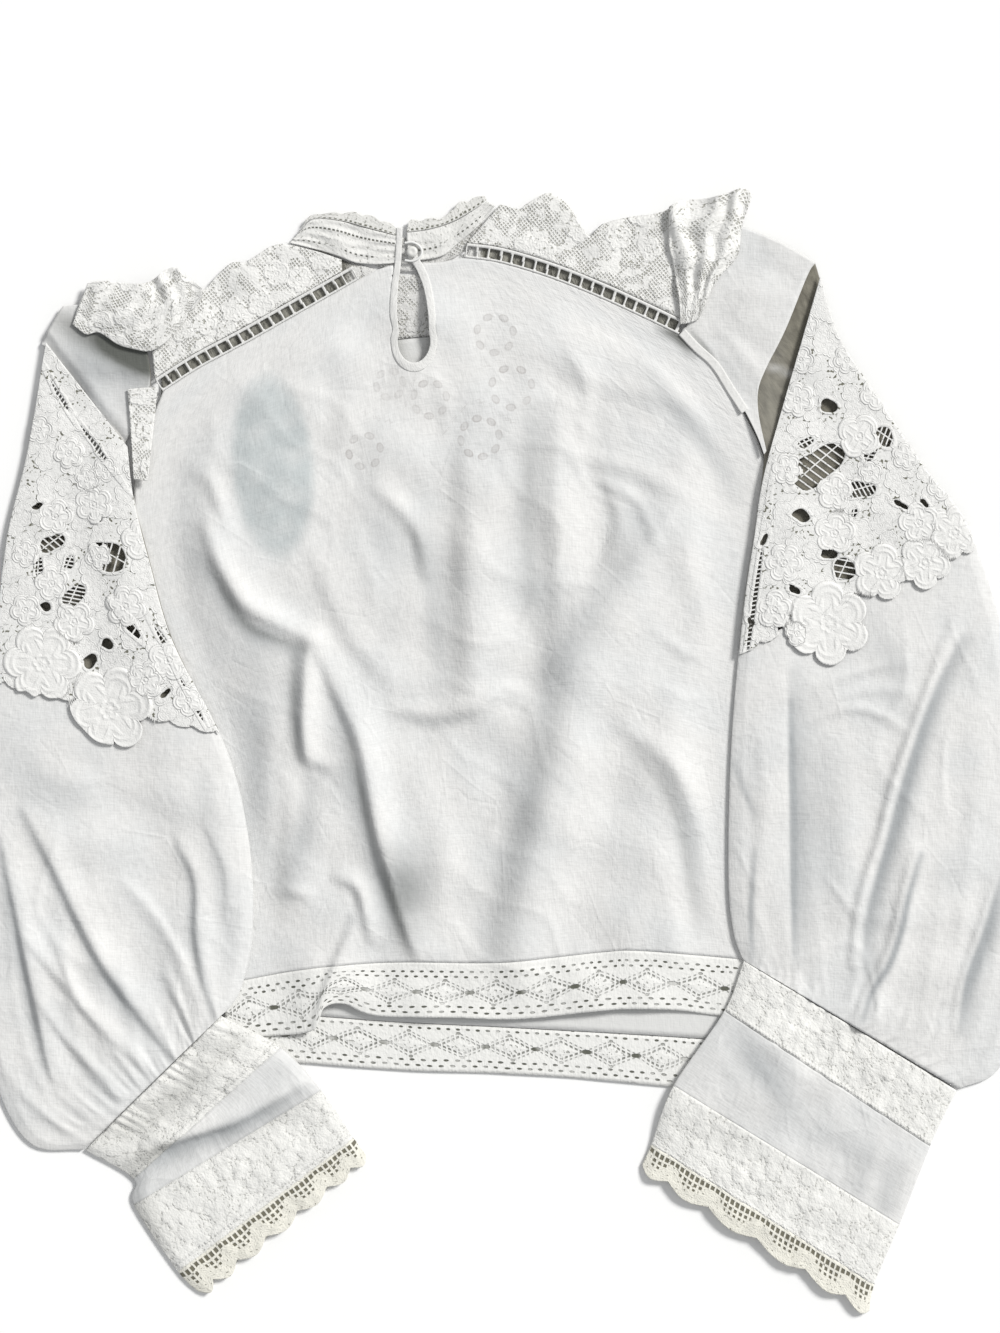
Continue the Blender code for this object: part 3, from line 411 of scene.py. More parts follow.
def hem_lace_finish(name):
    """Cotton tape lace: two rows of dashes along each edge and a row of stitched lozenges between them."""
    f = Finish(name, 0.92, 0.15)
    s, t, at = f.along()
    wobble = f.noise(at, 14.0, 1.0) * 1.6 - 0.8

    def dashes(row, offset, half, pitch=6.6):
        place = (s / pitch + offset).part() - 0.5
        return ((place * (pitch / half)) ** 2 + ((t + wobble - row) / 0.62) ** 2).below(1.0, 0.45)

    openings = dashes(3.4, 0.0, 1.45).most(dashes(6.6, 0.5, 1.45))
    openings = openings.most(dashes(25.4, 0.2, 1.2, 5.8)).most(dashes(28.4, 0.7, 1.2, 5.8))
    across = abs((s / 30.0).part() - 0.5) * 30.0
    up = abs(t + wobble - 15.8)
    lozenge = across / 12.2 + up / 5.4
    beat = (s / 2.9).part()
    outline = abs(lozenge - 1.0).below(0.11, 0.05) * beat.below(0.55, 0.1)
    outer = abs(lozenge - 1.38).below(0.08, 0.05) * beat.below(0.45, 0.1) * up.below(7.2, 0.5)
    outline = outline.most(outer * 0.7)
    pins = f.noise(at, 2.0, 1.0).below(0.37, 0.03) * lozenge.below(0.8, 0.1)
    corner = (((across - 14.2) / 2.1) ** 2 + (up / 1.2) ** 2).below(1.0, 0.3)
    small = ((across / 1.3) ** 2 + (abs(up - 7.4) / 0.8) ** 2).below(1.0, 0.4)
    openings = openings.most(outline * 0.8).most(corner).most(small * 0.7).most(pins * 0.6)
    fade = f.noise(at, 11.0, 2.0).below(0.56, 0.14) * 0.75 + 0.25
    # the openings are painted dark, as the shade seen through them
    colour = f.mix(openings * fade, (0.80, 0.797, 0.775), (0.12, 0.122, 0.10))
    ribs = f.noise(at, 1.3, 1.0, (1, 0.25, 1))
    raised = (lozenge - 0.6).below(0.0, 0.3) * 0.3
    return f.wear(colour, ribs * 0.2 + raised - openings * 0.5 + f.noise(at, 2.6, 2.0) * 0.5)


tape_lace = hem_lace_finish("tape_lace")
front_tape = cloth("front_hem_tape", strip(FRONT_HEM, beside(FRONT_LOW, -SEAM_GAP)), 2.0,
                   lambda x, y, u, v: 1.15 + 0.15 * np.sin(x / 9.0) * ease(1 - v), tape_lace,
                   "front_hem_lace", wall=0.9)


def yoke_finish(name, size=19.0, tone=(0.83, 0.825, 0.805), painted_shade_inside=False):
    """Cotton lace: closely stitched leaves with corded edges, and patches of fine square mesh between."""
    f = Finish(name, 0.92, 0.15)
    at = f.along()[2]
    x, y, own = f.scatter(at, size, 1.0)
    cords, out = f.rosette(x, y, size * 0.5, 5.0, own * 6.0)
    a, b = ((x + y * 0.8) / 2.3).part() - 0.5, ((y - x * 0.8) / 2.3).part() - 0.5
    eye = abs(a).most(abs(b)).below(0.27, 0.12)
    leaf = out.below(0.86, 0.05)
    mesh = (1.0 - leaf) * f.noise(at, 9.0, 1.0).below(0.50, 0.04)
    mesh = mesh.most(leaf * own.below(0.34, 0.02) * (1.0 - out.below(0.35, 0.04)))
    pins = f.noise(at, 2.1, 1.0).below(0.36, 0.02) * f.noise(at, 15.0, 1.0).below(0.5, 0.06)
    openings = (eye * mesh).most(pins)
    colour = f.mix(f.noise(at, 22.0, 2.0), tone, tuple(0.93 * c for c in tone))
    # painted shade: the openings are painted dark, as the shade seen through them
    colour = f.mix(openings * (f.noise(at, 6.0, 1.0) * 1.5), colour, (0.38, 0.375, 0.33))
    if painted_shade_inside:
        # painted shade: lace under the back is painted near black, except where it shows
        inner = f.mix(f.noise(at, 5.0, 1.0), (0.03, 0.03, 0.025), (0.42, 0.41, 0.36))
        colour = f.mix(f.mark("shows"), inner, colour)
    return f.wear(colour, cords * leaf * 0.22 + leaf * 0.3 + f.noise(at, 1.3, 1.0) * 0.4
                  + f.noise(at, 4.0, 2.0) * 0.7 - openings * 0.4)


yoke_lace = yoke_finish("yoke_lace")
# the front's lace has a lower tone as painted shade, for lying under the back
inner_yoke_lace = yoke_finish("inner_yoke_lace", size=12.0, tone=(0.70, 0.695, 0.68), painted_shade_inside=True)


# where the front yoke's painted shade is lifted: what the keyhole uncovers
def in_keyhole_view(x, y, u, v):
    return ease((x + 92) / 3) * ease((-10 - x) / 3)


front_yoke = cloth("front_yoke_lace", strip(beside(FRONT_TOP, SEAM_GAP), FRONT_NECK), 2.5, flat_front,
                   inner_yoke_lace, "front_yoke", wall=1.0, marks={"shows": in_keyhole_view})
front_collar = cloth("front_collar_lace", strip(
    [(-112, 250), (-85, 243.5), (-55, 237), (-30, 244), (-10, 259)],
    [(-113, 265), (-95, 267), (-75, 263), (-55, 257), (-35, 263), (-12, 274)]), 2.0,
    flat_front, inner_yoke_lace, "front_collar", wall=1.0, marks={"shows": in_keyhole_view})

# The back of the body
# One panel of voile, up and unpressed, so that it stands a few millimetres off the front in soft folds
# that run down from the shoulders and gather into a deep crease at the left of the waist.
BACK_LOFT = 3.5
BACK_TOP = [(-202, 165), (-180, 179), (-150, 195), (-120, 212), (-90, 229), (-73, 238), (-60, 241),
            (-36, 242.5), (-21, 245), (0, 242), (30, 233), (60, 221), (84, 210), (107, 199)]
BACK_LOW = [(-165, -191), (-149, -187), (-108, -180), (-60, -177), (0, -177), (60, -171), (84, -170),
            (141, -175), (157, -176)]
LEFT_SIDE = [(-165, -191), (-170, -100), (-183, -45), (-197, -10), (-213, 40), (-219, 80), (-217, 125),
             (-202, 165)]
RIGHT_SIDE = [(157, -176), (151, -80), (154, -20), (161, 40), (166, 90), (158, 126), (146, 152), (128, 180),
              (107, 199)]
BACK_FOLDS = [
    # points along the fold, its width on the left and on the right, its height in millimetres
    ([(-176, 84), (-169, 64), (-153, 38), (-132, 26), (-112, 16)], 8, 4.5, 4.8),
    ([(-186, 116), (-177, 114), (-169, 100), (-163, 82)], 6, 3.5, 2.2),
    ([(-172, 10), (-158, -30), (-150, -90)], 12, 9, 1.8),
    ([(-114, 14), (-116, -6), (-117, -32), (-115, -53), (-104, -59)], 8, 4, 5.0),
    ([(-106, 6), (-98, -14), (-90, -30), (-82, -50), (-76, -83), (-71, -107), (-58, -151),
      (-50, -170)], 12, 4, 6.0),
    ([(-130, -60), (-126, -90), (-128, -126)], 7, 5, 1.8),
    ([(-62, -25), (-42, -28), (-18, -24), (3, -14), (18, -20)], 6, 5, 2.6),
    ([(-22, 150), (-18, 118), (-16, 40), (-13, -22)], 24, 11, 5.0),
    ([(37, 152), (34, 88), (37, 40), (34, 8)], 16, 9, 5.0),
    ([(96, 82), (70, 36), (48, 4), (40, -32), (28, -86), (18, -149), (12, -178)], 26, 16, 5.2),
    ([(62, 120), (72, 84), (60, 52)], 10, 5, 3.0), ([(44, 128), (84, 116), (112, 100)], 7, 5, 1.8),
    ([(77, -37), (105, -61), (121, -98), (130, -152)], 10, 6, 4.2),
    ([(86, 190), (110, 162), (136, 132), (150, 96)], 9, 7, 4.0),
    ([(20, 192), (60, 170), (110, 160)], 8, 7, 1.4), ([(-72, 105), (-51, 84), (-44, 58)], 8, 4, 3.2),
    ([(-86, 76), (-76, 54), (-74, 30)], 8, 5, 1.6), ([(-112, 70), (-92, 24), (-64, -10)], 12, 6, 2.6),
    ([(-140, -40), (-140, -90), (-150, -130)], 7, 5, 2.2),
    ([(-142, -139), (-130, -134), (-116, -137)], 4, 3, 3.0),
    ([(-96, -126), (-84, -134), (-77, -162)], 6, 3.2, 4.2),
    ([(-86, -150), (-97, -176), (-105, -196), (-111, -218)], 8, 3, 3.2),
    ([(88, -100), (100, -130), (104, -160)], 10, 9, 1.4),
    ([(-36, -80), (-34, -120), (-38, -166)], 10, 10, 1.8),
    ([(-96, 190), (-92, 150), (-98, 100)], 10, 8, 1.6), ([(112, 60), (126, 20), (122, -20)], 9, 8, 1.4),
    ([(84, 212), (112, 178), (134, 150)], 5, 3, 1.5), ([(58, 196), (96, 188), (124, 164)], 4, 3, 1.0),
    ([(58, 112), (82, 98), (94, 72)], 4, 3, 1.5), ([(72, 58), (88, 72), (106, 96)], 3.5, 3, 1.2),
    ([(92, 22), (112, 8), (136, 4)], 3, 3, 1.0), ([(96, -12), (116, -20), (138, -14)], 3, 3, 0.9),
    ([(40, 190), (52, 168), (50, 140)], 5, 4, 1.2), ([(-40, 176), (-32, 150), (-36, 122)], 5, 4, 1.0),
]
BACK_SHADES = [
    # points along the shade, its width on the left and on the right, its strength
    ([(-112, -62), (-118, -100), (-128, -134)], 7, 6, 0.5), ([(-60, -114), (-55, -150)], 15, 13, 0.85),
    ([(-98, -16), (-84, -80), (-62, -160)], 5, 9, 0.7),
    ([(-121, 10), (-122, -26), (-119, -54)], 3.5, 6, 0.85),
    ([(-176, 64), (-156, 30), (-138, 18), (-118, 10)], 3.5, 8, 0.9),
    ([(-50, 110), (-40, 40), (-35, -20)], 11, 7, 0.55), ([(22, 156), (16, 90), (22, 20)], 9, 9, 0.52),
    ([(84, 92), (58, 40), (30, -6)], 14, 10, 0.5),
    ([(36, 6), (22, -60), (8, -110), (-6, -186)], 14, 12, 0.6),
    ([(84, -52), (108, -86), (120, -156)], 7, 7, 0.5),
    ([(82, 182), (104, 156), (128, 128), (140, 104)], 7, 8, 0.65),
    ([(-186, 120), (-184, 60), (-170, 0)], 12, 8, 0.35),
    ([(-146, 10), (-146, -40), (-150, -110)], 12, 10, 0.55),
    ([(-80, 110), (-70, 60), (-66, 10)], 10, 8, 0.35), ([(60, 150), (70, 110), (90, 84)], 6, 9, 0.35),
    ([(-60, -30), (-40, -34), (-10, -29)], 4, 4, 0.4), ([(60, -70), (80, -110), (90, -160)], 12, 12, 0.2),
]
BACK_DEEPS = [
    # the same for the deepest parts of the shades
    ([(-173, 62), (-154, 28), (-137, 18), (-117, 11)], 2.6, 3.4, 0.5),
    ([(-58, -116), (-55, -150)], 13, 11, 0.42), ([(-122, 8), (-123, -26), (-120, -54)], 2.2, 3.5, 0.4),
    ([(-90, -44), (-80, -84), (-74, -110)], 2, 4, 0.4),
    ([(-72, -112), (-60, -150), (-54, -172)], 2, 5, 0.45),
    ([(-27, 130), (-27, 40), (-26, -30)], 6, 4, 0.12), ([(18, 150), (17, 80), (22, 20)], 5, 5, 0.14),
    ([(34, -20), (20, -70), (6, -120), (-4, -180)], 8, 7, 0.08),
    ([(-130, -100), (-131, -150)], 6, 6, 0.2), ([(80, -50), (104, -84), (118, -150)], 4, 3, 0.2),
    ([(97, 202), (106, 198), (116, 188)], 4, 4, 0.9), ([(-64, 88), (-50, 74), (-46, 52)], 3, 4, 0.2),
]


def folded(x, y, rows):
    """The rise and fall of soft folds: each a line with its own width on either side."""
    total = np.zeros(len(x))
    for points, width_left, width_right, height in rows:
        t = np.linspace(0, 1, 25)
        line = smooth(points, t)
        best = np.full(len(x), 1e9)
        side = np.zeros(len(x))
        at = np.zeros(len(x))
        for k in range(len(line) - 1):
            a, d = line[k], line[k + 1] - line[k]
            share = np.clip(((x - a[0]) * d[0] + (y - a[1]) * d[1]) / (d @ d), 0, 1)
            dx, dy = x - a[0] - share * d[0], y - a[1] - share * d[1]
            away = np.hypot(dx, dy)
            nearer = away < best
            best[nearer] = away[nearer]
            side[nearer] = ((d[0] * dy - d[1] * dx) / (math.hypot(*d) * away + 1e-6))[nearer]
            at[nearer] = ((k + share) / (len(line) - 1))[nearer]
        width = (width_left + width_right) / 2 + (width_left - width_right) / 2 * side
        total += height * np.sin(math.pi * (0.1 + 0.8 * at)) ** 0.7 * np.exp(-(best / width) ** 2)
    return total


def waves(x, y, size, seed, count=9):
    """Smooth unevenness of about that size, between roughly -1 and 1."""
    dice = np.random.default_rng(seed)
    total = np.zeros(len(x))
    for _ in range(count):
        turn, phase = dice.uniform(0, 2 * math.pi), dice.uniform(0, 2 * math.pi)
        stretch = dice.uniform(0.7, 1.5)
        total += np.cos(2 * math.pi * (x * math.cos(turn) + y * math.sin(turn)) / (size * stretch) + phase)
    return total * math.sqrt(2 / count)


def creases(x, y, size, seed, sharp=0.22):
    """Thin pressed-in creases, strong in some places and absent in others."""
    line = np.exp(-(waves(x, y, size, seed) / sharp) ** 2)
    return line * ease(0.5 + 0.6 * waves(x, y, size * 2.2, seed + 50))


FLAT_AT_Y = [-224, -211, -177, -150, 150]
FLAT_FROM_LEFT = [26, 25, 24, 24, 14]
FLAT_FROM_RIGHT = [32, 30, 24, 20, 18]


def edge_x(y, edge):
    """Where the edge is at that height of the plan."""
    return np.interp(y, *zip(*sorted((b, a) for a, b in edge)))


def back_rise(x, y):
    """How far the upper side of the back is above the table."""
    from_left = x - edge_x(y, LEFT_SIDE) - np.interp(y, FLAT_AT_Y, FLAT_FROM_LEFT)
    from_right = edge_x(y, RIGHT_SIDE) - x - np.interp(y, FLAT_AT_Y, FLAT_FROM_RIGHT)
    below_yoke = np.interp(x, *zip(*BACK_TOP)) - y - 3
    held = ease(from_left / 34) * ease(from_right / 34) * ease(below_yoke / 40)
    lift = (BACK_LOFT + folded(x, y, BACK_FOLDS) + 0.8 * waves(x, y, 64, 3)
            + 0.3 * waves(x, y, 30, 4))
    fine = 0.6 * creases(x, y, 60, 11, 0.3)
    return LAYER + CLOTH + held * (np.logaddexp(0, 2 * lift) / 2 + fine)


def painted_shade_patch(x, y, u, v):
    """Painted shade: a greyer, bluish place on the left of the back."""
    away = ((x + 136) / 25) ** 2 + ((y - 120 + 0.3 * (x + 136)) / 54) ** 2
    return ease((1.25 - away) / 0.6) * np.clip(0.9 + 0.1 * waves(x, y, 20, 5), 0, 1)


def shade_of(rows, strength=1.0):
    """A mark for the shade that lies along folds."""
    return lambda x, y, u, v: np.clip(strength * folded(x, y, rows), 0, 1)


def each_of(names, rule):
    """A mark under each of the names, from a rule that gives them all at once."""
    return {name: lambda x, y, u, v, k=k: rule(x, y, u, v)[k] for k, name in enumerate(names)}


GHOSTS = [
    # x, y, radius of the ring, number of leaves, strength
    (-3, 199, 11, 7, 0.8), (7, 167, 12, 7, 0.9), (-12, 137, 11.5, 8, 1.0), (-81, 129, 9.5, 6, 0.9),
    (-42, 160, 10, 7, 0.8), (-66, 169, 8, 6, 0.5),
]


def nearest_ghost(x, y):
    """For each point, the nearest ring: x and y from its middle, its radius, its leaves and its strength."""
    best = np.full(len(x), 24.0)
    found = np.zeros((5, len(x)))
    for cx, cy, ring, leaves, strength in GHOSTS:
        away = np.hypot(x - cx, y - cy)
        nearer = away < best
        best[nearer] = away[nearer]
        given = [x - cx, y - cy] + [np.full(len(x), k) for k in (ring, leaves, strength)]
        found[:, nearer] = np.array(given)[:, nearer]
    return found


KEYHOLE = (-51.5, 195.0, 9.5, 62.0)     # middle of the round end, its radius, and how far the taper rises


def in_keyhole(x, y, grow=0.0):
    """Where the teardrop at the back neck is open."""
    cx, cy, r, rise = KEYHOLE
    r = r + grow
    round_end = ((x - cx) / r) ** 2 + ((y - cy) / (1.35 * r)) ** 2 < 1
    share = np.clip((y - cy) / rise, 0, 1)
    half = r * (1 - share ** 2.2) + (2.6 + grow) * share ** 2.2
    taper = (abs(x - (cx - 5 * share)) < half) & (y >= cy) & (y < 262)
    return round_end | taper


back = cloth("back_panel", panel(BACK_LOW, BACK_TOP, LEFT_SIDE, RIGHT_SIDE), 2.1,
             lambda x, y, u, v: back_rise(x, y), voile("back_voile"), "back_body", wall=0.9,
             marks={"painted_shade_patch": painted_shade_patch, "shade": shade_of(BACK_SHADES, 0.85),
                    "deep_shade": shade_of(BACK_DEEPS),
                    **each_of(("ghost_x", "ghost_y", "ghost_ring", "ghost_leaves", "ghost"),
                              lambda x, y, u, v: nearest_ghost(x, y))},
             keep=lambda x, y, u, v: ~in_keyhole(x, y, 1.4))

BACK_HEM = [(-165, -224), (-144, -222), (-113, -218), (-105, -204), (-93, -202), (-75, -209), (-30, -210),
            (12, -211), (60, -206), (84, -205), (108, -206), (129, -209), (157, -211)]
back_tape = cloth("back_hem_tape", strip(BACK_HEM, beside(BACK_LOW, -0.1)), 1.5,
                  lambda x, y, u, v: back_rise(x, y) + 0.2 * np.sin(x / 7.0) * ease(1 - v) - 0.5 * (1 - v),
                  tape_lace, "back_hem_lace", wall=0.9)

# The openwork tape and the lace yoke
# Two narrow rails of white cotton joined by bars of bound thread, with open gaps between them, carry the
# leaf-pattern net yoke, whose soft upper edge is the shoulder fold.
LADDER_WIDTH, LADDER_PITCH = 8.4, 6.9


def binding_finish(name):
    """Closely stitched white cotton."""
    f = Finish(name, 0.88, 0.2)
    at = f.along()[2]
    tone = (0.77, 0.765, 0.75)
    stitch = f.noise(at, 0.9, 1.0, (1, 0.3, 1))
    return f.wear(f.mix(f.noise(at, 7.0, 2.0), tone, tuple(0.9 * c for c in tone)),
                  stitch * 0.3 + f.noise(at, 3.0, 1.0) * 0.35)


stitched = binding_finish("stitched_cotton")


def ladder(name, edge, node):
    """The openwork tape along an edge: slightly slanting bars of thread between two raised rails."""
    length = np.linalg.norm(np.diff(np.array(edge, float), axis=0), axis=1).sum()
    beats = int(length / LADDER_PITCH) + 0.32
    across = strip(beside(edge, 0.1), beside(edge, 0.6 + LADDER_WIDTH))

    def opened(u, v):
        beat = (u * beats + 0.12 * (v - 0.5)) % 1.0
        waist = 0.14 + 0.08 * np.abs(2 * v - 1) ** 3
        inside = (v > 0.21) & (v < 0.78)
        return inside & (beat > waist) & (beat < 1.0 - waist)

    def top(x, y, u, v):
        bar = np.exp(-(u * beats % 1.0 / 0.1) ** 2)
        rail = np.maximum(np.exp(-((v - 0.10) / 0.08) ** 2), np.exp(-((v - 0.90) / 0.08) ** 2))
        return back_rise(x, y) + 0.15 + 0.5 * np.maximum(rail, 0.7 * bar)

    return cloth(name, across, 0.62, top, stitched, node, wall=0.9, keep=lambda x, y, u, v: ~opened(u, v))


LEFT_SEAM = BACK_TOP[:5] + [(-84, 232.4)]
RIGHT_SEAM = BACK_TOP[8:]
left_tape = ladder("openwork_tape_left", LEFT_SEAM, "ladder_left")
right_tape = ladder("openwork_tape_right", RIGHT_SEAM, "ladder_right")

YOKE_LEFT_TOP = [(-211, 216), (-195, 224), (-178, 226), (-170, 234), (-161, 242), (-152, 243), (-137, 252),
                 (-127, 253), (-109, 248.6), (-95, 244)]
YOKE_RIGHT_TOP = [(0, 277), (13, 274), (17, 278), (30, 284), (41, 276), (49, 264), (54, 258), (61, 265),
                  (75, 269), (95, 272), (102, 275)]
clear = 0.9 + LADDER_WIDTH


def yoke_rise(x, y, u, v):
    inwards = np.sin(math.pi * v) ** 0.5 * np.sin(math.pi * u) ** 0.3
    return back_rise(x, y) + 0.5 * waves(x, y, 30, 8) * inwards


for side, low, high, area, tape in (
        ("left", beside(LEFT_SEAM[:5], clear), YOKE_LEFT_TOP, 0.0037, left_tape),
        ("right", beside(RIGHT_SEAM, clear), YOKE_RIGHT_TOP, 0.0047, right_tape)):
    yoke = cloth(f"yoke_lace_{side}", strip(low, high), 1.3, yoke_rise, yoke_lace, f"yoke_{side}", wall=0.9,
                 planar=True)

# The collar
# A standing band of tucked lace in two halves that meet at the keyhole, edged with a scalloped frill and
# a row of small eyes along the seam between them.


def collar_finish(name):
    """Tucked cotton lace with a row of small eyes along each seam."""
    f = Finish(name, 0.92, 0.15)
    s, t, at = f.along()
    seam_eyes = abs(t - 15.0).below(0.55, 0.35) * (s / 2.6).part().below(0.55, 0.12)
    low_eyes = abs(t - 4.6).below(0.45, 0.3) * (s / 3.3).part().below(0.4, 0.1)
    eyes = seam_eyes.most(low_eyes * f.noise(at, 16.0, 1.0).below(0.5, 0.05))
    tucks = (t * 1.25 + f.noise(at, 18.0, 1.0) * 3.0).sine()
    pin_holes = f.noise(at, 2.2, 1.0).below(0.33, 0.03)
    # the eyes and pin holes are painted dark, as the shade seen through them
    colour = f.mix(eyes.most(pin_holes * 0.55), (0.745, 0.74, 0.72), (0.13, 0.13, 0.11))
    return f.wear(colour, tucks * 0.16 + f.noise(at, 1.6, 1.0) * 0.4 + f.noise(at, 4.0, 1.0) * 0.5
                  - eyes * 0.4)


def frill_finish(name):
    """A loose lace edging with one row of eyes at its foot."""
    f = Finish(name, 0.92, 0.15)
    s, t, at = f.along()
    eyes = abs(t - 1.0).below(0.5, 0.3) * (s / 3.0).part().below(0.5, 0.1)
    # the eyes and pin holes are painted dark, as the shade seen through them
    colour = f.mix(eyes.most(f.noise(at, 1.8, 1.0).below(0.36, 0.04) * 0.6), (0.73, 0.725, 0.70),
                   (0.15, 0.15, 0.12))
    return f.wear(colour, f.noise(at, 1.4, 1.0) * 0.5 + f.noise(at, 4.0, 1.0) * 0.3)


collar_lace = collar_finish("collar_lace")
frill_lace = frill_finish("frill_lace")
FRILL_LOBES = 5
COLLARS = [
    # side, lower edge, seam with the frill, upper edge of the frill
    ("left", [(-126, 254), (-109, 249.8), (-97, 246), (-88, 242.6), (-78, 241.2), (-70, 241.4),
      (-62, 242.2)], [(-119, 262), (-112, 268), (-96, 267), (-81, 263), (-62, 258)],
     [(-116, 267), (-112, 271), (-95, 272.5), (-82, 272), (-68, 267), (-61, 263)]),
    ("right", [(-55, 243.5), (-45, 244), (-34, 246.5), (-26, 253), (-12, 265), (-3, 276)],
     [(-56, 260), (-42, 262), (-27, 267), (-15, 274), (-8, 279)],
     [(-55, 264), (-53, 268), (-34, 270), (-27, 277), (-20, 280), (-9, 283)]),
]


def band_rise(x, y, u, v):
    tucks = 0.2 * np.sin(7 * math.pi * v + 3 * waves(x, y, 60, 4))
    return back_rise(x, y) + tucks + 0.4 * waves(x, y, 20, 6)


for side, low, seam, edge in COLLARS:
    band = cloth(f"collar_band_{side}", strip(low, seam), 0.8, band_rise, collar_lace, f"collar_{side}",
                 wall=0.9)
    ruled = strip(beside(seam, SEAM_GAP), edge)

    def edging(u, v, ruled=ruled):
        return ruled(u, v * (0.76 + 0.24 * np.abs(np.sin(FRILL_LOBES * math.pi * u))))

    trim = cloth(f"collar_edging_{side}", edging, 0.6,
                 lambda x, y, u, v: back_rise(x, y) + 0.3 * np.sin(x / 2.4) * v, frill_lace,
                 f"collar_frill_{side}", wall=0.7)

# The keyhole and its fastening
# The opening is bound with a folded tape of the same voile, stitched close to its edge, and the collar
# closes over it with one small shell button in a thread loop.
KEYHOLE_BINDING = 4.4


def keyhole_line(grow):
    """The round foot of the keyhole, that much wider."""
    turns = np.linspace(math.radians(158), math.radians(382), 17)
    r = KEYHOLE[2] + grow
    return [(KEYHOLE[0] + r * math.cos(t), KEYHOLE[1] + 1.35 * r * math.sin(t)) for t in turns]


inner = ([(-58.4, 263.0), (-59.2, 243), (-61.0, 228), (-61.6, 212)] + keyhole_line(0.2)
         + [(-43.2, 212), (-45.6, 226), (-49.2, 236), (-53.4, 243.4)])
outer = ([(-62.0, 263.0), (-63.0, 243), (-65.2, 228), (-66.0, 212)] + keyhole_line(KEYHOLE_BINDING)
         + [(-38.8, 213), (-41.4, 229), (-45.2, 239), (-50.2, 247)])


def tape_rise(x, y, u, v):
    return back_rise(x, y) + 0.3 + 0.22 * np.clip(4 * v * (1 - v), 0, 1) ** 0.5 + 0.1 * waves(x, y, 12, 21)


bound = cloth("keyhole_tape", strip(inner, outer), 0.8, tape_rise, binding_finish("binding_voile"),
              "keyhole_binding", wall=1.1)

BUTTON_RADIUS = 3.3
bm = bmesh.new()
bmesh.ops.create_uvsphere(bm, u_segments=40, v_segments=24, radius=BUTTON_RADIUS * MM)
for vert in bm.verts:
    out = math.hypot(vert.co.x, vert.co.y) / (BUTTON_RADIUS * MM)
    dish = 0.22 * math.exp(-(out / 0.45) ** 2) if vert.co.z > 0 else 0
    vert.co.z = vert.co.z * (0.5 - dish)
mesh = bpy.data.meshes.new("shell_button")
bm.to_mesh(mesh)
bm.free()
mesh.shade_smooth()
button = bpy.data.objects.new("shell_button", mesh)
button.location = np.array(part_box("neck_button")).mean(axis=0)
bpy.context.scene.collection.objects.link(button)
pearl = Finish("shell", 0.3, 0.0)
pearl.shader.inputs["Coat Weight"].default_value = 0.4
swirl = pearl.noise(pearl.node("ShaderNodeNewGeometry"), 0.0022, 3.0, distortion=1.5)
mesh.materials.append(pearl.wear(pearl.mix(swirl, (0.80, 0.79, 0.76), (0.62, 0.62, 0.60))))
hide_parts("neck_button")
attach(button, "root")

curve = bpy.data.curves.new("thread_loop", "CURVE")
curve.dimensions = "3D"
curve.bevel_depth = 0.7 * MM
curve.bevel_resolution = 3
curve.use_fill_caps = True
LOOP_HEIGHT = 4.2
line = curve.splines.new("POLY")
loop_points = smooth([(-57.0, 243.4), (-52.5, 243.0), (-48.4, 245.0), (-46.8, 248.5), (-48.4, 252.0),
                      (-52.5, 254.2), (-57.0, 253.8)], np.linspace(0, 1, 40))
line.points.add(len(loop_points) - 1)
for point, (x, y) in zip(line.points, loop_points):
    point.co = ((x - PLAN_CENTRE[0]) * MM, (y - PLAN_CENTRE[1]) * MM, LOOP_HEIGHT * MM, 1)
loop = bpy.data.objects.new("thread_loop", curve)
bpy.context.scene.collection.objects.link(loop)
cotton = Finish("bound_thread", 0.85, 0.2)
curve.materials.append(cotton.wear(cotton.mix(cotton.noise(cotton.node("ShaderNodeNewGeometry"), 0.001),
                                              (0.84, 0.84, 0.83), (0.7, 0.7, 0.69))))
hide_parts("neck_loop")
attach(loop, "root")

# The sleeve tops
# The front half of each sleeve top and, above it, the plain voile of the sleeve head, with a folded tape
# over the armhole seam. Most of the front half is painted with the shade inside the sleeve.
OVER_BODY = 3.4               # millimetres that the body lifts what lies on it
SHELF, RAMP = 5.0, 36.0       # how far past the body's edge it stays up, and how far it takes to fall
FOOTPRINT = (FRONT_HEM + [(157, -176), (151, -80), (154, -20), (161, 40), (166, 90), (158, 126)]
             + [(-218, 112), (-219, 80), (-213, 40), (-197, -10), (-183, -45), (-170, -100), (-165, -191)])


def outside(x, y, outline):
    """Plan distance from each point to the outline, and 0 inside it."""
    p = np.array(outline, float)
    away = np.full(len(x), 1e9)
    inside = np.zeros(len(x), bool)
    for a, b in zip(p, np.roll(p, -1, axis=0)):
        d = b - a
        t = np.clip(((x - a[0]) * d[0] + (y - a[1]) * d[1]) / (d @ d), 0, 1)
        away = np.minimum(away, np.hypot(x - a[0] - t * d[0], y - a[1] - t * d[1]))
        if a[1] != b[1]:
            inside ^= ((a[1] > y) != (b[1] > y)) & (x < a[0] + (y - a[1]) * d[0] / d[1])
    return np.where(inside, 0, away)


def under_sleeve(x, y):
    """How far the body's edge lifts the sleeve that lies over it."""
    return OVER_BODY * ease(1 - (outside(x, y, FOOTPRINT) - SHELF) / RAMP)


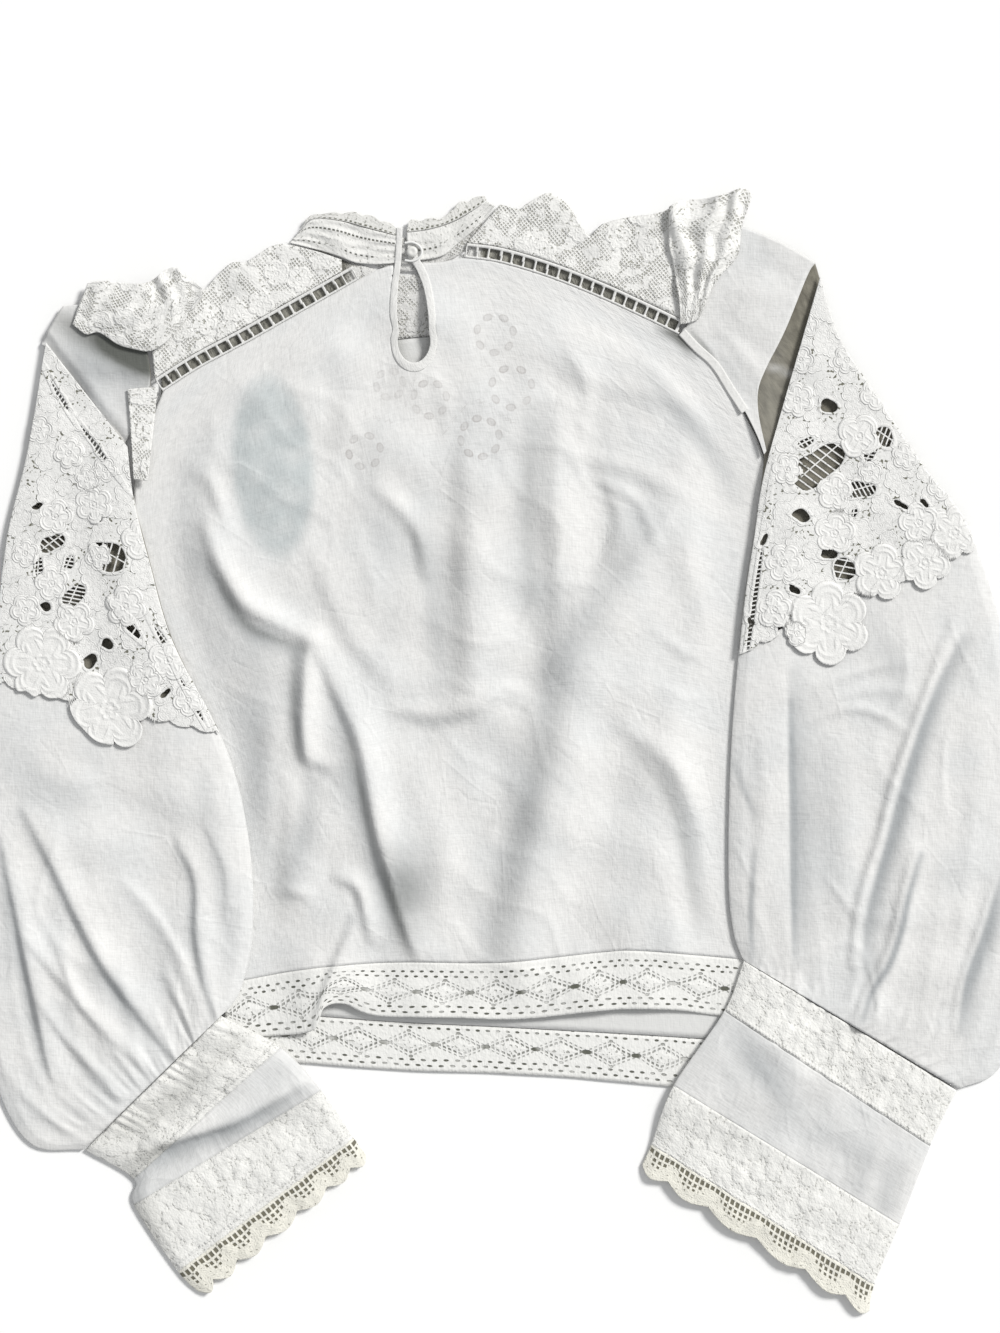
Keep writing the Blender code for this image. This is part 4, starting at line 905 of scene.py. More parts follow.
SLEEVES = {
    # how far down the sleeve, inner x and y, outer x and y
    "right": [
        (0.00, 161, 128, 190, 240), (0.08, 156, 106, 203, 198), (0.17, 152, 78, 226, 162),
        (0.27, 147, 46, 254, 120), (0.38, 143, 10, 281, 83), (0.50, 139, -38, 303, 16),
        (0.63, 137, -86, 313, -56), (0.77, 137, -134, 318, -128), (0.88, 140, -160, 314, -190),
        (0.96, 144, -172, 300, -240), (1.00, 146, -176, 274, -254)],
    "left": [
        (0.00, -223, 132, -272, 195), (0.09, -219, 100, -283, 130), (0.18, -210, 64, -295, 80),
        (0.28, -196, 16, -301, 33), (0.38, -169, -37, -305, -5), (0.50, -156, -74, -310, -60),
        (0.62, -149, -116, -313, -118), (0.76, -148, -158, -311, -190), (0.88, -154, -190, -303, -248),
        (0.96, -161, -203, -282, -286), (1.00, -167, -209, -249, -290)],
}
LACE_END = 0.38


def chord(points):
    """The share of the whole length at each point."""
    steps = np.cumsum(np.linalg.norm(np.diff(points, axis=0), axis=1))
    return np.concatenate([[0], steps / steps[-1]])


def stations(table, start, end):
    """The part of a sleeve or cuff between two places down its length, as a plan."""
    rows = np.array(table, float)
    at, rows = (rows[:, 0], rows[:, 1:]) if rows.shape[1] == 5 else (np.arange(len(rows)), rows)

    def place(u, v):
        where = start + v * (end - start)
        inner = smooth(rows[:, :2], np.interp(where, at, chord(rows[:, :2])))
        outer = smooth(rows[:, 2:], np.interp(where, at, chord(rows[:, 2:])))
        return (1 - u)[:, None] * inner + u[:, None] * outer
    return place


ARMHOLE_RIGHT = [(158, 127), (154, 138), (146.7, 153), (138, 166.5), (128.7, 181), (118, 191), (109, 200.5),
                 (113, 206), (112, 222), (108.5, 248), (105, 274)]
HEAD_RIGHT_OUTER = [(159.4, 129), (155, 150), (154.5, 165), (159, 178), (171, 202), (184, 234), (189, 242)]
HEAD_RIGHT_TOP = [(105, 274), (125, 270), (145, 264), (168, 254), (189, 242)]
HEAD_LEFT_LOW = [(-275, 193.4), (-226.4, 130.4)]
HEAD_LEFT_TOP = [(-262, 216), (-232, 219), (-214.5, 218.5)]
HEAD_LEFT_OUTER = [(-275, 193.4), (-268, 206), (-262, 216)]
HEAD_LEFT_INNER = [(-226.4, 130.4), (-213.5, 158), (-209.5, 173), (-212.8, 196), (-214.5, 218.5)]
YOKE_AND_RUFFLES = [(-202, 165), (-209, 187), (-229, 191), (-240, 197), (-258, 203), (-250, 233), (-178, 240),
                    (0, 290), (153, 288), (146, 246), (132, 230), (120, 205), (128, 180), (147, 152),
                    (159, 126), (100, 100), (-200, 100), (-213, 116), (-226, 117), (-224, 168)]
HEAD_FOLDS = [
    # points along the fold, its width on the left and on the right, its height in millimetres
    ([(120, 236), (140, 226), (160, 222)], 8, 6, 1.4), ([(124, 216), (146, 196), (160, 184)], 7, 5, -1.5),
    ([(112, 208), (130, 190), (146, 168)], 3, 4, 1.6), ([(150, 250), (166, 236), (178, 226)], 8, 6, -1.0),
    ([(-255, 190), (-236, 180), (-222, 168)], 7, 5, 1.6),
    ([(-262, 206), (-240, 190), (-216, 186)], 6, 6, -2.0),
    ([(-250, 178), (-240, 160), (-226, 148)], 5, 6, 1.4),
]
HEAD_SHADES = {
    # points along the shade, its width on the left and on the right, its strength
    "shade": [
        ([(-262, 196), (-240, 184), (-222, 176), (-212, 160)], 12, 14, 0.75),
        ([(-252, 180), (-232, 156)], 8, 8, 0.35), ([(118, 230), (134, 206), (146, 176)], 7, 6, 0.12),
        ([(150, 244), (166, 224), (158, 196)], 8, 8, 0.06)],
    "deep_shade": [
        ([(-262, 208), (-240, 196), (-216, 184), (-190, 170)], 6, 9, 0.95),
        ([(-230, 192), (-214, 186), (-196, 182)], 12, 7.5, 1.7),
        ([(112, 204), (124, 190), (136, 172)], 1.6, 3, 0.6)],
}


def from_insert(x, y):
    """How far a point is from the left insert's upper edge."""
    a = np.array(HEAD_LEFT_LOW[0])
    d = np.array(HEAD_LEFT_LOW[1]) - a
    return np.abs((x - a[0]) * d[1] - (y - a[1]) * d[0]) / math.hypot(*d)


def head_rise(x, y, u, v):
    free = ease((outside(x, y, YOKE_AND_RUFFLES) - 2) / 20)
    body = under_sleeve(x, y) + LAYER + 0.6 + CLOTH + 2.4 * free
    body -= (x < 0) * 3.4 * ease((9 - from_insert(x, y)) / 7)
    return body + free * (folded(x, y, HEAD_FOLDS) + 0.4 * creases(x, y, 26, 31) - 0.3)


def sleeve_shows(x, y, u, v):
    """Bright under the open edge of the left sleeve head, and half lit in the fold beside the right one."""
    strand = 0.45 * np.exp(-((y - 178 + 0.35 * (x - 168)) / 2.2) ** 2)
    return np.where(x < 0, 0.8 * ease((24 - from_insert(x, y)) / 8), strand + 0.07 * ease((178 - x) / 14))


# painted shade: the inside of the sleeve, dark except where sleeve_shows marks it bright
sleeve_dark = shaded_voile("sleeve_front_voile", (0.74, 0.735, 0.72), (0.17, 0.16, 0.131))
right_rows = [row for row in SLEEVES["right"] if row[0] <= LACE_END][::-1]
left_rows = [row for row in SLEEVES["left"] if row[0] <= LACE_END][::-1]
right_inner = [(row[1], row[2]) for row in right_rows][:-1] + ARMHOLE_RIGHT
right_outer = [(row[3], row[4]) for row in right_rows][:-1] + [(189, 242)]
left_inner = [(row[1], row[2]) for row in left_rows][:-1] + HEAD_LEFT_INNER
left_outer = [(row[3], row[4]) for row in left_rows][:-1] + [(-271, 197), (-262, 216)]
for side, plan, area in (
        ("right", panel([right_inner[0], right_outer[0]], HEAD_RIGHT_TOP, right_inner, right_outer), 0.0204),
        ("left", panel([left_outer[0], left_inner[0]], HEAD_LEFT_TOP, left_outer, left_inner), 0.0182)):
    lower = cloth(f"sleeve_front_top_{side}", plan, 4.0,
                  lambda x, y, u, v: under_sleeve(x, y) + CLOTH - 0.05, sleeve_dark, f"sleeve_front_{side}",
                  wall=1.1, marks={"shows": sleeve_shows})

head_voile = voile("sleeve_head_voile")
for side, plan, area in (
        ("right", panel([ARMHOLE_RIGHT[0], HEAD_RIGHT_OUTER[0]], HEAD_RIGHT_TOP, ARMHOLE_RIGHT,
                        HEAD_RIGHT_OUTER), 0.0064),
        ("left", panel(HEAD_LEFT_LOW, HEAD_LEFT_TOP, HEAD_LEFT_OUTER, HEAD_LEFT_INNER), 0.0036)):
    head = cloth(f"sleeve_head_cloth_{side}", plan, 1.8, head_rise, head_voile, f"sleeve_head_{side}",
                 marks={mark: shade_of(rows) for mark, rows in HEAD_SHADES.items()}, planar=True)

seam = ARMHOLE_RIGHT[2:7]
TAPES = [
    # side, lower edge, upper edge, finish, millimetres above the sleeve head, area
    ("right", beside(seam, -2.6), beside(seam, 2.6), stitched, -0.8, 0.0004),
    ("left", [(-219, 112), (-215, 111.5), (-210.5, 111)], [(-223, 166), (-214, 167), (-205, 167)],
     yoke_finish("armhole_tape_lace", size=13.0), 0.8, 0.0007),
]
for side, low, high, finish, raised, area in TAPES:
    cover = cloth(f"armhole_cover_{side}", strip(low, high), 0.8,
                  lambda x, y, u, v, raised=raised: under_sleeve(x, y) + OVER_BODY + CLOTH + raised,
                  finish, f"armhole_tape_{side}", wall=0.9)

# The shoulder ruffles
# A strip of scalloped lace gathered into each shoulder seam. The left one lies rolled over the sleeve head,
# and the right one stands in a fan of flutes with a deep crease down its inner side.
RUFFLE_LEFT_LOW = [(-256, 205), (-248, 199), (-240, 200), (-229, 193), (-219, 190), (-209, 189), (-198, 196),
                   (-186, 211), (-178, 221)]
RUFFLE_LEFT_TOP = [(-247, 229.6), (-237, 231), (-216, 229), (-207, 232), (-200, 237.5), (-194, 238.6),
                   (-186, 232.6), (-178.5, 226.5)]
RUFFLE_RIGHT_LOW = [(108, 205), (114, 206), (119, 208)]
RUFFLE_RIGHT_TOP = [(101, 275), (109, 279), (128, 281), (145, 286), (151, 283)]
RUFFLE_RIGHT_INNER = [(108, 205), (107, 222), (103, 243), (101, 256), (101, 275)]
RUFFLE_RIGHT_OUTER = [(119, 208), (130, 232), (142, 246), (145, 264), (151, 283)]
RUFFLE_BASE = OVER_BODY + 0.8 + CLOTH


def left_ruffle_rise(x, y, u, v):
    flute = 0.5 - 0.5 * np.cos(2 * math.pi * (4 * u + 0.15 * waves(x, y, 40, 2)))
    roll = np.sin(math.pi * np.clip(v, 0, 1)) * 2.5
    hem = 0.5 * waves(x, y, 13, 9) * ease(4 * v * (1 - v))
    return RUFFLE_BASE + ease(4 * u * (1 - u)) * (0.4 + 2.6 * flute * v + roll) + hem


def right_ruffle_rise(x, y, u, v):
    flute = 0.5 - 0.5 * np.cos(2 * math.pi * (3 * u + 0.12 * waves(x, y, 36, 3)))
    return RUFFLE_BASE + ease(v * 2) * (3.2 * flute ** 0.8 + 0.7 * waves(x, y, 24, 12)) + 0.4


ruffle_lace = yoke_finish("ruffle_lace", size=17.0)
rolled = cloth("shoulder_ruffle_left", strip(RUFFLE_LEFT_LOW, RUFFLE_LEFT_TOP), 0.9, left_ruffle_rise,
               ruffle_lace, "ruffle_left")
fan = cloth("shoulder_ruffle_right", panel(RUFFLE_RIGHT_LOW, RUFFLE_RIGHT_TOP, RUFFLE_RIGHT_INNER,
                                           RUFFLE_RIGHT_OUTER), 0.9, right_ruffle_rise, ruffle_lace,
            "ruffle_right")

# The puffs
# Wide tubes of voile, gathered into the cuff seam so that creases fan out from it and die away up the
# sleeve. They lie half flattened, and fullest a little above the cuff.
GATHERS = {
    # share of the width at the cuff and at the top, where it dies, half width, height
    "right": [
        (0.08, 0.10, 0.45, 5.5, 2.6), (0.19, 0.16, 0.70, 4.0, 2.2), (0.30, 0.26, 0.55, 6.0, 3.0),
        (0.42, 0.47, 0.75, 4.0, 2.6), (0.52, 0.66, 0.42, 6.5, 3.8), (0.63, 0.78, 0.60, 5.0, 3.0),
        (0.74, 0.84, 0.50, 5.5, 3.2), (0.85, 0.93, 0.66, 4.5, 3.0), (0.94, 0.96, 0.78, 3.5, 2.2)],
    "left": [
        (0.07, 0.05, 0.62, 4.5, 2.6), (0.18, 0.14, 0.48, 5.0, 3.0), (0.30, 0.26, 0.70, 4.0, 2.4),
        (0.43, 0.50, 0.62, 4.0, 3.2), (0.52, 0.60, 0.44, 7.0, 3.0), (0.60, 0.80, 0.40, 4.5, 3.2),
        (0.70, 0.88, 0.60, 6.5, 2.6), (0.82, 0.93, 0.52, 3.8, 2.8), (0.94, 0.97, 0.80, 3.5, 2.2)],
}
PUFF_RISE_AT = [0.0, 0.1, 0.38, 0.55, 0.75, 0.9, 1.0]
PUFF_RISE = [0.3, 1.2, 1.8, 2.6, 3.2, 2.2, 1.0]


def dome(u):
    """0 at both edges of a flattened tube and 1 over its middle."""
    return np.sqrt(np.clip(4 * u * (1 - u), 0, 1))


def gathered(side, u, along):
    """Height of the low creases that run up from the cuff seam, with fine gathers on the right sleeve."""
    rows = np.array(SLEEVES[side], float)
    width = np.interp(along, rows[:, 0], np.hypot(rows[:, 3] - rows[:, 1], rows[:, 4] - rows[:, 2]))
    total = np.zeros(len(u))
    for at_cuff, at_top, dies_at, half, height in GATHERS[side]:
        t = np.clip((1 - along) / (1 - dies_at), 0, 1)
        away = (u - (at_cuff + (at_top - at_cuff) * t + 0.01 * np.sin(9 * t + 20 * at_cuff))) * width
        grown = ease((1 - t) / 0.75) * (0.45 + 0.55 * ease((1 - along) / 0.08))
        total += height * grown * np.exp(-np.abs(away / half) ** 1.7)
    total *= 0.3
    if side == "left":
        return total
    dice = np.random.default_rng(40)
    for at_cuff in np.arange(0.03, 0.985, 0.032):
        at_cuff += dice.uniform(-0.01, 0.01)
        reach, half, height = dice.uniform(0.05, 0.2), dice.uniform(1.3, 2.4), dice.uniform(0.5, 1.3)
        fan_out = dice.uniform(-0.06, 0.06)
        t = np.clip((1 - along) / reach, 0, 1)
        away = (u - (at_cuff + fan_out * t)) * width
        total += height * ease(1 - t) * np.exp(-np.abs(away / half) ** 1.5)
    return total


def fanned(x, y):
    """Straight creases that fan out from the left cuff's seam."""
    dice = np.random.default_rng(43)
    total = np.zeros(len(x))
    for share in np.arange(0.02, 0.99, 0.034):
        turn = math.radians(102 + 44 * share + dice.uniform(-8, 8))
        reach, half, height = dice.uniform(24, 84), dice.uniform(1.3, 2.6), dice.uniform(0.9, 2.2)
        p, q = x + 167 + 82 * share, y + 209 + 81 * share
        out, away = p * math.cos(turn) + q * math.sin(turn), q * math.cos(turn) - p * math.sin(turn)
        spread = half * (1 + np.clip(out, 0, None) / 60)
        total += height * ease(1 - out / reach) * np.exp(-np.abs(away / spread) ** 1.5)
    return total


PUFF_FOLDS = [
    # points along the fold, its width on the left and on the right, its height in millimetres
    ([(277, 40), (258, -8), (247, -38), (235, -71), (227, -104), (221, -120), (214, -148),
      (211, -178)], 5, 3, 3.2),
    ([(168, -6), (169, -60), (171, -130), (172, -172)], 5, 10, 1.6),
    ([(248, -112), (240, -139), (236, -158), (229, -178), (219, -194), (213, -212)], 6, 3, 2.4),
    ([(190, -12), (216, -3), (242, 3)], 4, 3, 1.8),
    ([(186, -33), (208, -25), (228, -29), (242, -38)], 3.5, 3, 1.6),
    ([(194, -22), (222, -14), (246, -16)], 4, 3, 1.2),
    ([(204, -60), (208, -110), (204, -170)], 9, 8, 1.0),
    ([(152, -10), (158, -80), (156, -140)], 7, 6, 1.6),
    ([(286, -20), (288, -80), (272, -140)], 12, 9, 1.8),
    ([(296, -128), (286, -161), (276, -190), (272, -216)], 6, 3, 2.4),
    ([(-297, -110), (-289, -148), (-282, -181), (-274, -218), (-268, -244)], 9, 2.4, 4.0),
    ([(-284, -88), (-268, -118), (-252, -151), (-235, -181), (-217, -206), (-196, -232)], 10, 2.6, 3.6),
    ([(-284, -162), (-260, -191), (-238, -216), (-216, -238)], 6, 2.4, 2.6),
    ([(-276, -200), (-257, -226), (-237, -246), (-228, -258)], 4, 2.2, 2.2),
    ([(-192, -106), (-182, -128), (-181, -161), (-177, -186), (-169, -211)], 7, 2.2, 2.8),
    ([(-176, -94), (-164, -121), (-163, -150)], 5, 2.4, 1.8),
    ([(-224, -129), (-207, -148), (-190, -176), (-182, -201), (-179, -218)], 3, 5, 2.0),
    ([(-201, -184), (-190, -206), (-183, -222)], 4, 2.2, 1.8),
    ([(-300, -238), (-284, -257), (-262, -276)], 5, 3, 1.8),
    ([(-268, -162), (-256, -190), (-250, -204)], 4, 2.2, 1.4),
    ([(-250, -60), (-228, -80), (-205, -86)], 9, 7, -1.0), ([(-170, -60), (-164, -110)], 6, 8, 1.0),
]
PUFF_SHADES = [
    # points along the shade, its width on the left and on the right, its strength
    ([(277, 16), (264, -9), (252, -39), (242, -71), (233, -104), (226, -128), (220, -153),
      (219, -180)], 7, 2.6, 1.15),
    ([(222, 30), (236, 0), (240, -30)], 9, 9, 0.3), ([(190, -30), (194, -90), (194, -156)], 12, 12, 0.3),
    ([(174, -6), (174, -52), (175, -93), (175, -137), (176, -176)], 11, 2, 0.75),
    ([(174, -20), (175, -93), (176, -172)], 2.4, 1.8, 0.5),
    ([(252, -112), (244, -139), (240, -158), (233, -178), (223, -194), (217, -212)], 2.4, 2.2, 1.2),
    ([(152, -110), (150, -148), (151, -175)], 2, 2, 0.8), ([(140, -58), (152, -90)], 3, 2, 0.6),
    ([(300, -128), (290, -161), (280, -188), (276, -216)], 7, 2.4, 1.15),
    ([(-300, -106), (-291, -150), (-284, -186), (-272, -240)], 3, 5, 0.75),
    ([(-287, -88), (-270, -118), (-254, -152), (-237, -183), (-198, -234)], 3, 4, 0.6),
    ([(-278, -190), (-262, -214), (-240, -240), (-228, -256)], 8, 8, 0.3),
    ([(-194, -108), (-184, -130), (-183, -162), (-171, -210)], 3, 3, 0.6),
    ([(-180, -70), (-168, -120), (-160, -170)], 7, 6, 0.4),
    ([(-300, -40), (-270, -70), (-240, -76)], 10, 14, 0.3), ([(-240, -180), (-214, -220)], 8, 8, 0.35),
]


def puff_height(side, u, along):
    return 3.0 + dome(u) * (np.interp(along, PUFF_RISE_AT, PUFF_RISE) + 0.93 * gathered(side, u, along))


def ring(table, start, end, height):
    """Points of a flattened tube: k runs over the upper side from inner to outer and back underneath."""
    place = stations(table, start, end)

    def top(k, v):
        u, _, upper = around(k)
        x, y = place(u, v).T
        base = under_sleeve(x, y)
        edge = np.clip(4 * u * (1 - u) * 6, 0, 1) ** 0.5
        middle = 1.5
        low = base + 0.05 + middle * (1 - edge)
        high = base + middle + (height(x, y, u, v) - middle) * edge
        return x, y, np.where(upper, high, low)
    return place, top


PUFF_START, PUFF_END = LACE_END + 0.002, 1.0 - 0.0016
puff_voile = voile("puff_voile")
for side, flat, area in (("right", (0.42, 0.33), 0.104), ("left", (0.36, 0.27), 0.083)):
    def fullness(x, y, u, v, side=side):
        along = PUFF_START + v * (PUFF_END - PUFF_START)
        loose = folded(x, y, PUFF_FOLDS) + 0.7 * creases(x, y, 60, 61, 0.3) + 0.5 * waves(x, y, 46, 62)
        if side == "left":
            loose = loose + fanned(x, y)
        return puff_height(side, u, along) + dome(u) * ease((along - 0.42) / 0.08) * loose

    place, top = ring(SLEEVES[side], PUFF_START, PUFF_END, fullness)
    puff = cloth(f"puff_{side}", place, 1.9, top, puff_voile, f"sleeve_puff_{side}", closed=True,
                 marks={"shade": shade_of(PUFF_SHADES)}, planar=True)

# The guipure inserts
# Heavy white embroidery on the upper sleeve: padded flowers of several sizes, joined by bars of thread over
# open gaps, and scalloped along its lower edge where it lies on the puff.
EDGE_FLOWERS = {
    # share of the width, how far down the sleeve, radius
    "right": [(0.38, 0.413, 26), (0.77, 0.400, 21)],
    "left": [(0.47, 0.390, 27), (0.77, 0.345, 24)],
}
FLOWERS = {
    # x, y, radius, number of petals, height
    "right": [
        (196.8, 25.6, 26, 6, 1.7), (228, 56, 18, 5, 1.5), (254, 62, 17, 5, 1.4), (272, 80, 17, 6, 1.4),
        (251, 86, 13, 5, 1.2), (200.4, 80, 13, 5, 1.3), (200.4, 105, 12, 5, 1.2), (215, 138, 14, 4, 1.4),
        (178, 160, 11, 6, 1.1), (180, 184, 9, 5, 1.0), (184, 205, 8, 5, 1.0), (222, 116, 8, 5, 1.0),
        (243, 126, 9, 6, 1.0), (225, 163, 10, 5, 1.0), (170, 62, 12, 6, 1.1), (164, 34, 12, 5, 1.1),
        (172, 118, 10, 6, 1.1), (264, 108, 9, 5, 1.0), (208, 184, 9, 6, 0.9), (178, 20, 9, 5, 1.0)],
    "left": [
        (-234, -26, 27, 6, 1.7), (-274, 2, 24, 6, 1.6), (-255, 27, 13, 5, 1.2), (-224, 36, 13, 6, 1.2),
        (-214, 76, 13, 5, 1.2), (-268, 50, 11, 5, 1.1), (-243, 97, 12, 6, 1.1), (-266, 90, 11, 5, 1.0),
        (-219, 118, 7, 5, 0.9), (-258, 128, 10, 6, 1.0), (-276, 142, 9, 5, 1.0), (-236, 118, 8, 5, 0.9),
        (-247, 112, 8, 6, 0.9), (-198, 4, 13, 5, 1.1), (-186, -20, 10, 5, 1.0), (-212, -8, 12, 6, 1.1),
        (-284, 34, 10, 5, 1.0), (-284, 68, 9, 6, 1.0), (-240, 66, 9, 5, 1.0)],
}
GAPS = {
    # x, y, half length, half width, turn in degrees, number of bars
    "right": [
        (190, 120, 16, 10, 35, 6), (180, 90.5, 6.5, 3.4, -12, 0), (197, 67.5, 4.5, 3.2, 0, 0),
        (206, 58, 8, 6, 60, 3), (197, 156, 4.5, 4.5, 0, 0), (230, 138, 7.5, 4.5, -40, 4),
        (216, 106, 8, 5, 10, 5), (176, 46, 4, 2, -40, 0), (164, 37, 3.2, 1.6, -50, 0),
        (168, 22, 3.6, 1.7, -50, 0), (150, 27, 3.5, 1.5, -50, 0), (240, 97, 4.5, 1.5, -30, 0),
        (254, 98, 3.2, 1.5, -40, 0), (171, 65, 3.0, 2.0, 40, 0), (160, 30, 2.4, 1.2, 80, 0),
        (151.5, 34, 34, 1.1, 82, 24), (222, 128, 5, 3, 60, 3), (183, 134, 4.5, 2.6, 20, 2),
        (158, 76, 3.4, 1.6, 60, 0), (212, 92, 4.2, 1.6, 75, 2), (166, 6, 3, 1.2, -40, 0)],
    "left": [
        (-234, 66, 14, 7.5, -35, 4), (-245.4, 3.4, 4.2, 4.2, 0, 0), (-235, 13.6, 4.0, 3.0, 0, 0),
        (-222, 26, 14, 2.6, -52, 4), (-272, 36, 4.0, 2.4, -20, 0), (-268, 74, 7, 4.6, 30, 3),
        (-255, 42, 7.5, 5.5, 60, 5), (-241, 88.6, 3.4, 2.4, 30, 0), (-277, 96, 4, 1.6, 20, 0),
        (-208, -2, 3, 1.5, 50, 0), (-200, -16, 3.6, 1.6, 40, 0), (-262, 94, 3, 1.4, 20, 0),
        (-199, 12, 13, 1.5, -60, 7), (-184, -20, 18, 1.3, -62, 13), (-258, 62, 5, 2.6, 60, 3),
        (-276, 60, 5, 2.2, 80, 3), (-250, 110, 4, 1.4, -30, 2), (-241, 131, 19, 1.3, -54, 13),
        (-264, 163, 12, 1.2, -60, 8)],
}


def insert_end(side, across):
    """How far down the sleeve the insert reaches: scallops, and the flowers that lap over the puff."""
    reach = np.full(len(across), LACE_END + 0.012)
    for a, s, radius in EDGE_FLOWERS[side]:
        lobe = 1 - ((across - a) / (radius / 145)) ** 2
        reach = np.maximum(reach, s + 0.0021 * radius * np.sqrt(np.clip(lobe, 0, 1)))
    return reach + 0.004 * np.abs(np.sin(across * 26))


def flower_parts(side, x, y):
    """Relief of the padded petals and how far inside a flower each point is, from 0 to 1."""
    rise, light = np.zeros(len(x)), np.zeros(len(x))
    for cx, cy, radius, petals, height in FLOWERS[side]:
        away = np.hypot(x - cx, y - cy)
        half = (np.arctan2(y - cy, x - cx) - cx + 0.4) * petals / 2
        edge = radius * (0.73 + 0.27 * np.abs(np.cos(half)) ** 0.6)
        inside = ease((edge - away) / 1.8)
        petal = np.sqrt(np.abs(np.cos(half))) * ease(away / radius * 2.5)
        dip = 0.35 * np.exp(-((away - 0.55 * radius) / (0.16 * radius)) ** 2)
        rise = np.maximum(rise, 0.6 * inside * height * (0.5 + 0.5 * petal - dip * petal))
        light = np.maximum(light, inside)
    return rise, light


def nearest_flower(side, x, y):
    """For each point, the flower it is furthest inside: x and y from its middle, its radius, its petals."""
    best = np.full(len(x), 1e9)
    found = np.zeros((4, len(x)))
    for cx, cy, radius, petals, _ in FLOWERS[side]:
        out = np.hypot(x - cx, y - cy) / radius
        nearer = out < best
        best[nearer] = out[nearer]
        c, s = math.cos(cx), math.sin(cx)
        found[:, nearer] = np.array([(x - cx) * c + (y - cy) * s, (y - cy) * c - (x - cx) * s,
                                     np.full(len(x), radius), np.full(len(x), petals)])[:, nearer]
    return found


NO_BARS = 99.0


def nearest_gap(side, x, y, along):
    """For each point, its place in the nearest opening: along it, across it, depth in it, spacing of bars.

    Below the seam with the puff, all that lies outside the flowers counts as open.
    """
    found = np.array([np.zeros(len(x)), np.zeros(len(x)), np.full(len(x), -9.0), np.zeros(len(x))])
    for cx, cy, half_length, half_width, turn, bars in GAPS[side]:
        c, s = math.cos(math.radians(turn)), math.sin(math.radians(turn))
        p, q = (x - cx) * c + (y - cy) * s, -(x - cx) * s + (y - cy) * c
        bulge = 1 + 0.18 * np.sin(2.3 * np.arctan2(q, p) + cx)
        depth = (1 - np.sqrt((p / half_length) ** 2 + (q / half_width) ** 2) / bulge) * half_width
        pitch = 2 * half_length / (bars + 1) if bars else NO_BARS
        nearer = depth > found[2]
        found[:, nearer] = np.array([p + half_length, q, depth, np.full(len(x), pitch)])[:, nearer]
    light = flower_parts(side, x, y)[1]
    found[2] = np.where(light > 0.35, np.minimum(found[2], 0.35 - light), found[2])
    beyond = (along - LACE_END - 0.003 - 0.008 * np.abs(np.sin(x / 4.5)) ** 0.7) * 400
    beneath = np.minimum(beyond, 1.2 - 2 * light)
    past = (beyond > 0) & (beneath > found[2])
    found[2] = np.where(past, beneath, found[2])
    found[3] = np.where(past, NO_BARS, found[3])
    return found


FLOWER_MARKS = ("flower_x", "flower_y", "flower_size", "petals")
GAP_MARKS = ("gap_along", "gap_across", "gap_depth", "gap_pitch")


def guipure_finish(name):
    """Padded satin stitch in soft cotton: corded flowers, smaller ones between, and bars of thread."""
    f = Finish(name, 0.86, 0.3)
    at = f.along()[2]
    stitch = f.noise(at, 0.9, 1.0)
    ground = f.noise(at, 2.6, 2.0)
    cords, out = f.rosette(*(f.mark(key) for key in FLOWER_MARKS), 0.4)
    x, y, own = f.scatter(at, 11.5, 0.9)
    small_cords, small_out = f.rosette(x, y, own * 2.0 + 5.4, 5.0, own * 9.0)
    large = out.below(0.995, 0.02) * f.mark("motif").above(0.02)
    small = small_out.below(1.0, 0.03) * (1.0 - large)
    net = 1.0 - large.most(small)
    cords = (cords * large).most(small_cords * small * 0.45)
    pin = f.noise(at, 2.0, 1.0).below(0.40, 0.02) * net * f.noise(at, 13.0, 1.0).below(0.54, 0.05)
    colour = f.mix(net * 0.3 + ground * 0.2, (0.785, 0.78, 0.765), (0.68, 0.682, 0.67))
    colour = f.mix(cords * 0.6, colour, (0.83, 0.825, 0.81))
    # the pin holes are painted dark, as the shade seen through them; the larger gaps are cut
    colour = f.mix(pin, colour, (0.16, 0.158, 0.125))
    along, across, depth, pitch = (f.mark(key) for key in GAP_MARKS)
    barred = pitch.below(40.0, 1.0)
    rung = abs(((along + across * 0.35) / pitch).part() - 0.5) * pitch
    stem = abs(across - along * 0.10).below(0.36, 0.1) * (1.0 - pitch.below(99.5, 0.1) + barred)
    solid = depth.below(0.0, 0.06).most(rung.below(0.42, 0.1).most(stem) * barred)
    edge = abs(depth + 0.9).below(0.7, 0.4)
    relief = stitch * 0.25 + ground * 0.4 + cords * 0.4 + edge * 0.35 + large.most(small) * 0.25
    return f.wear(colour, relief, solid)


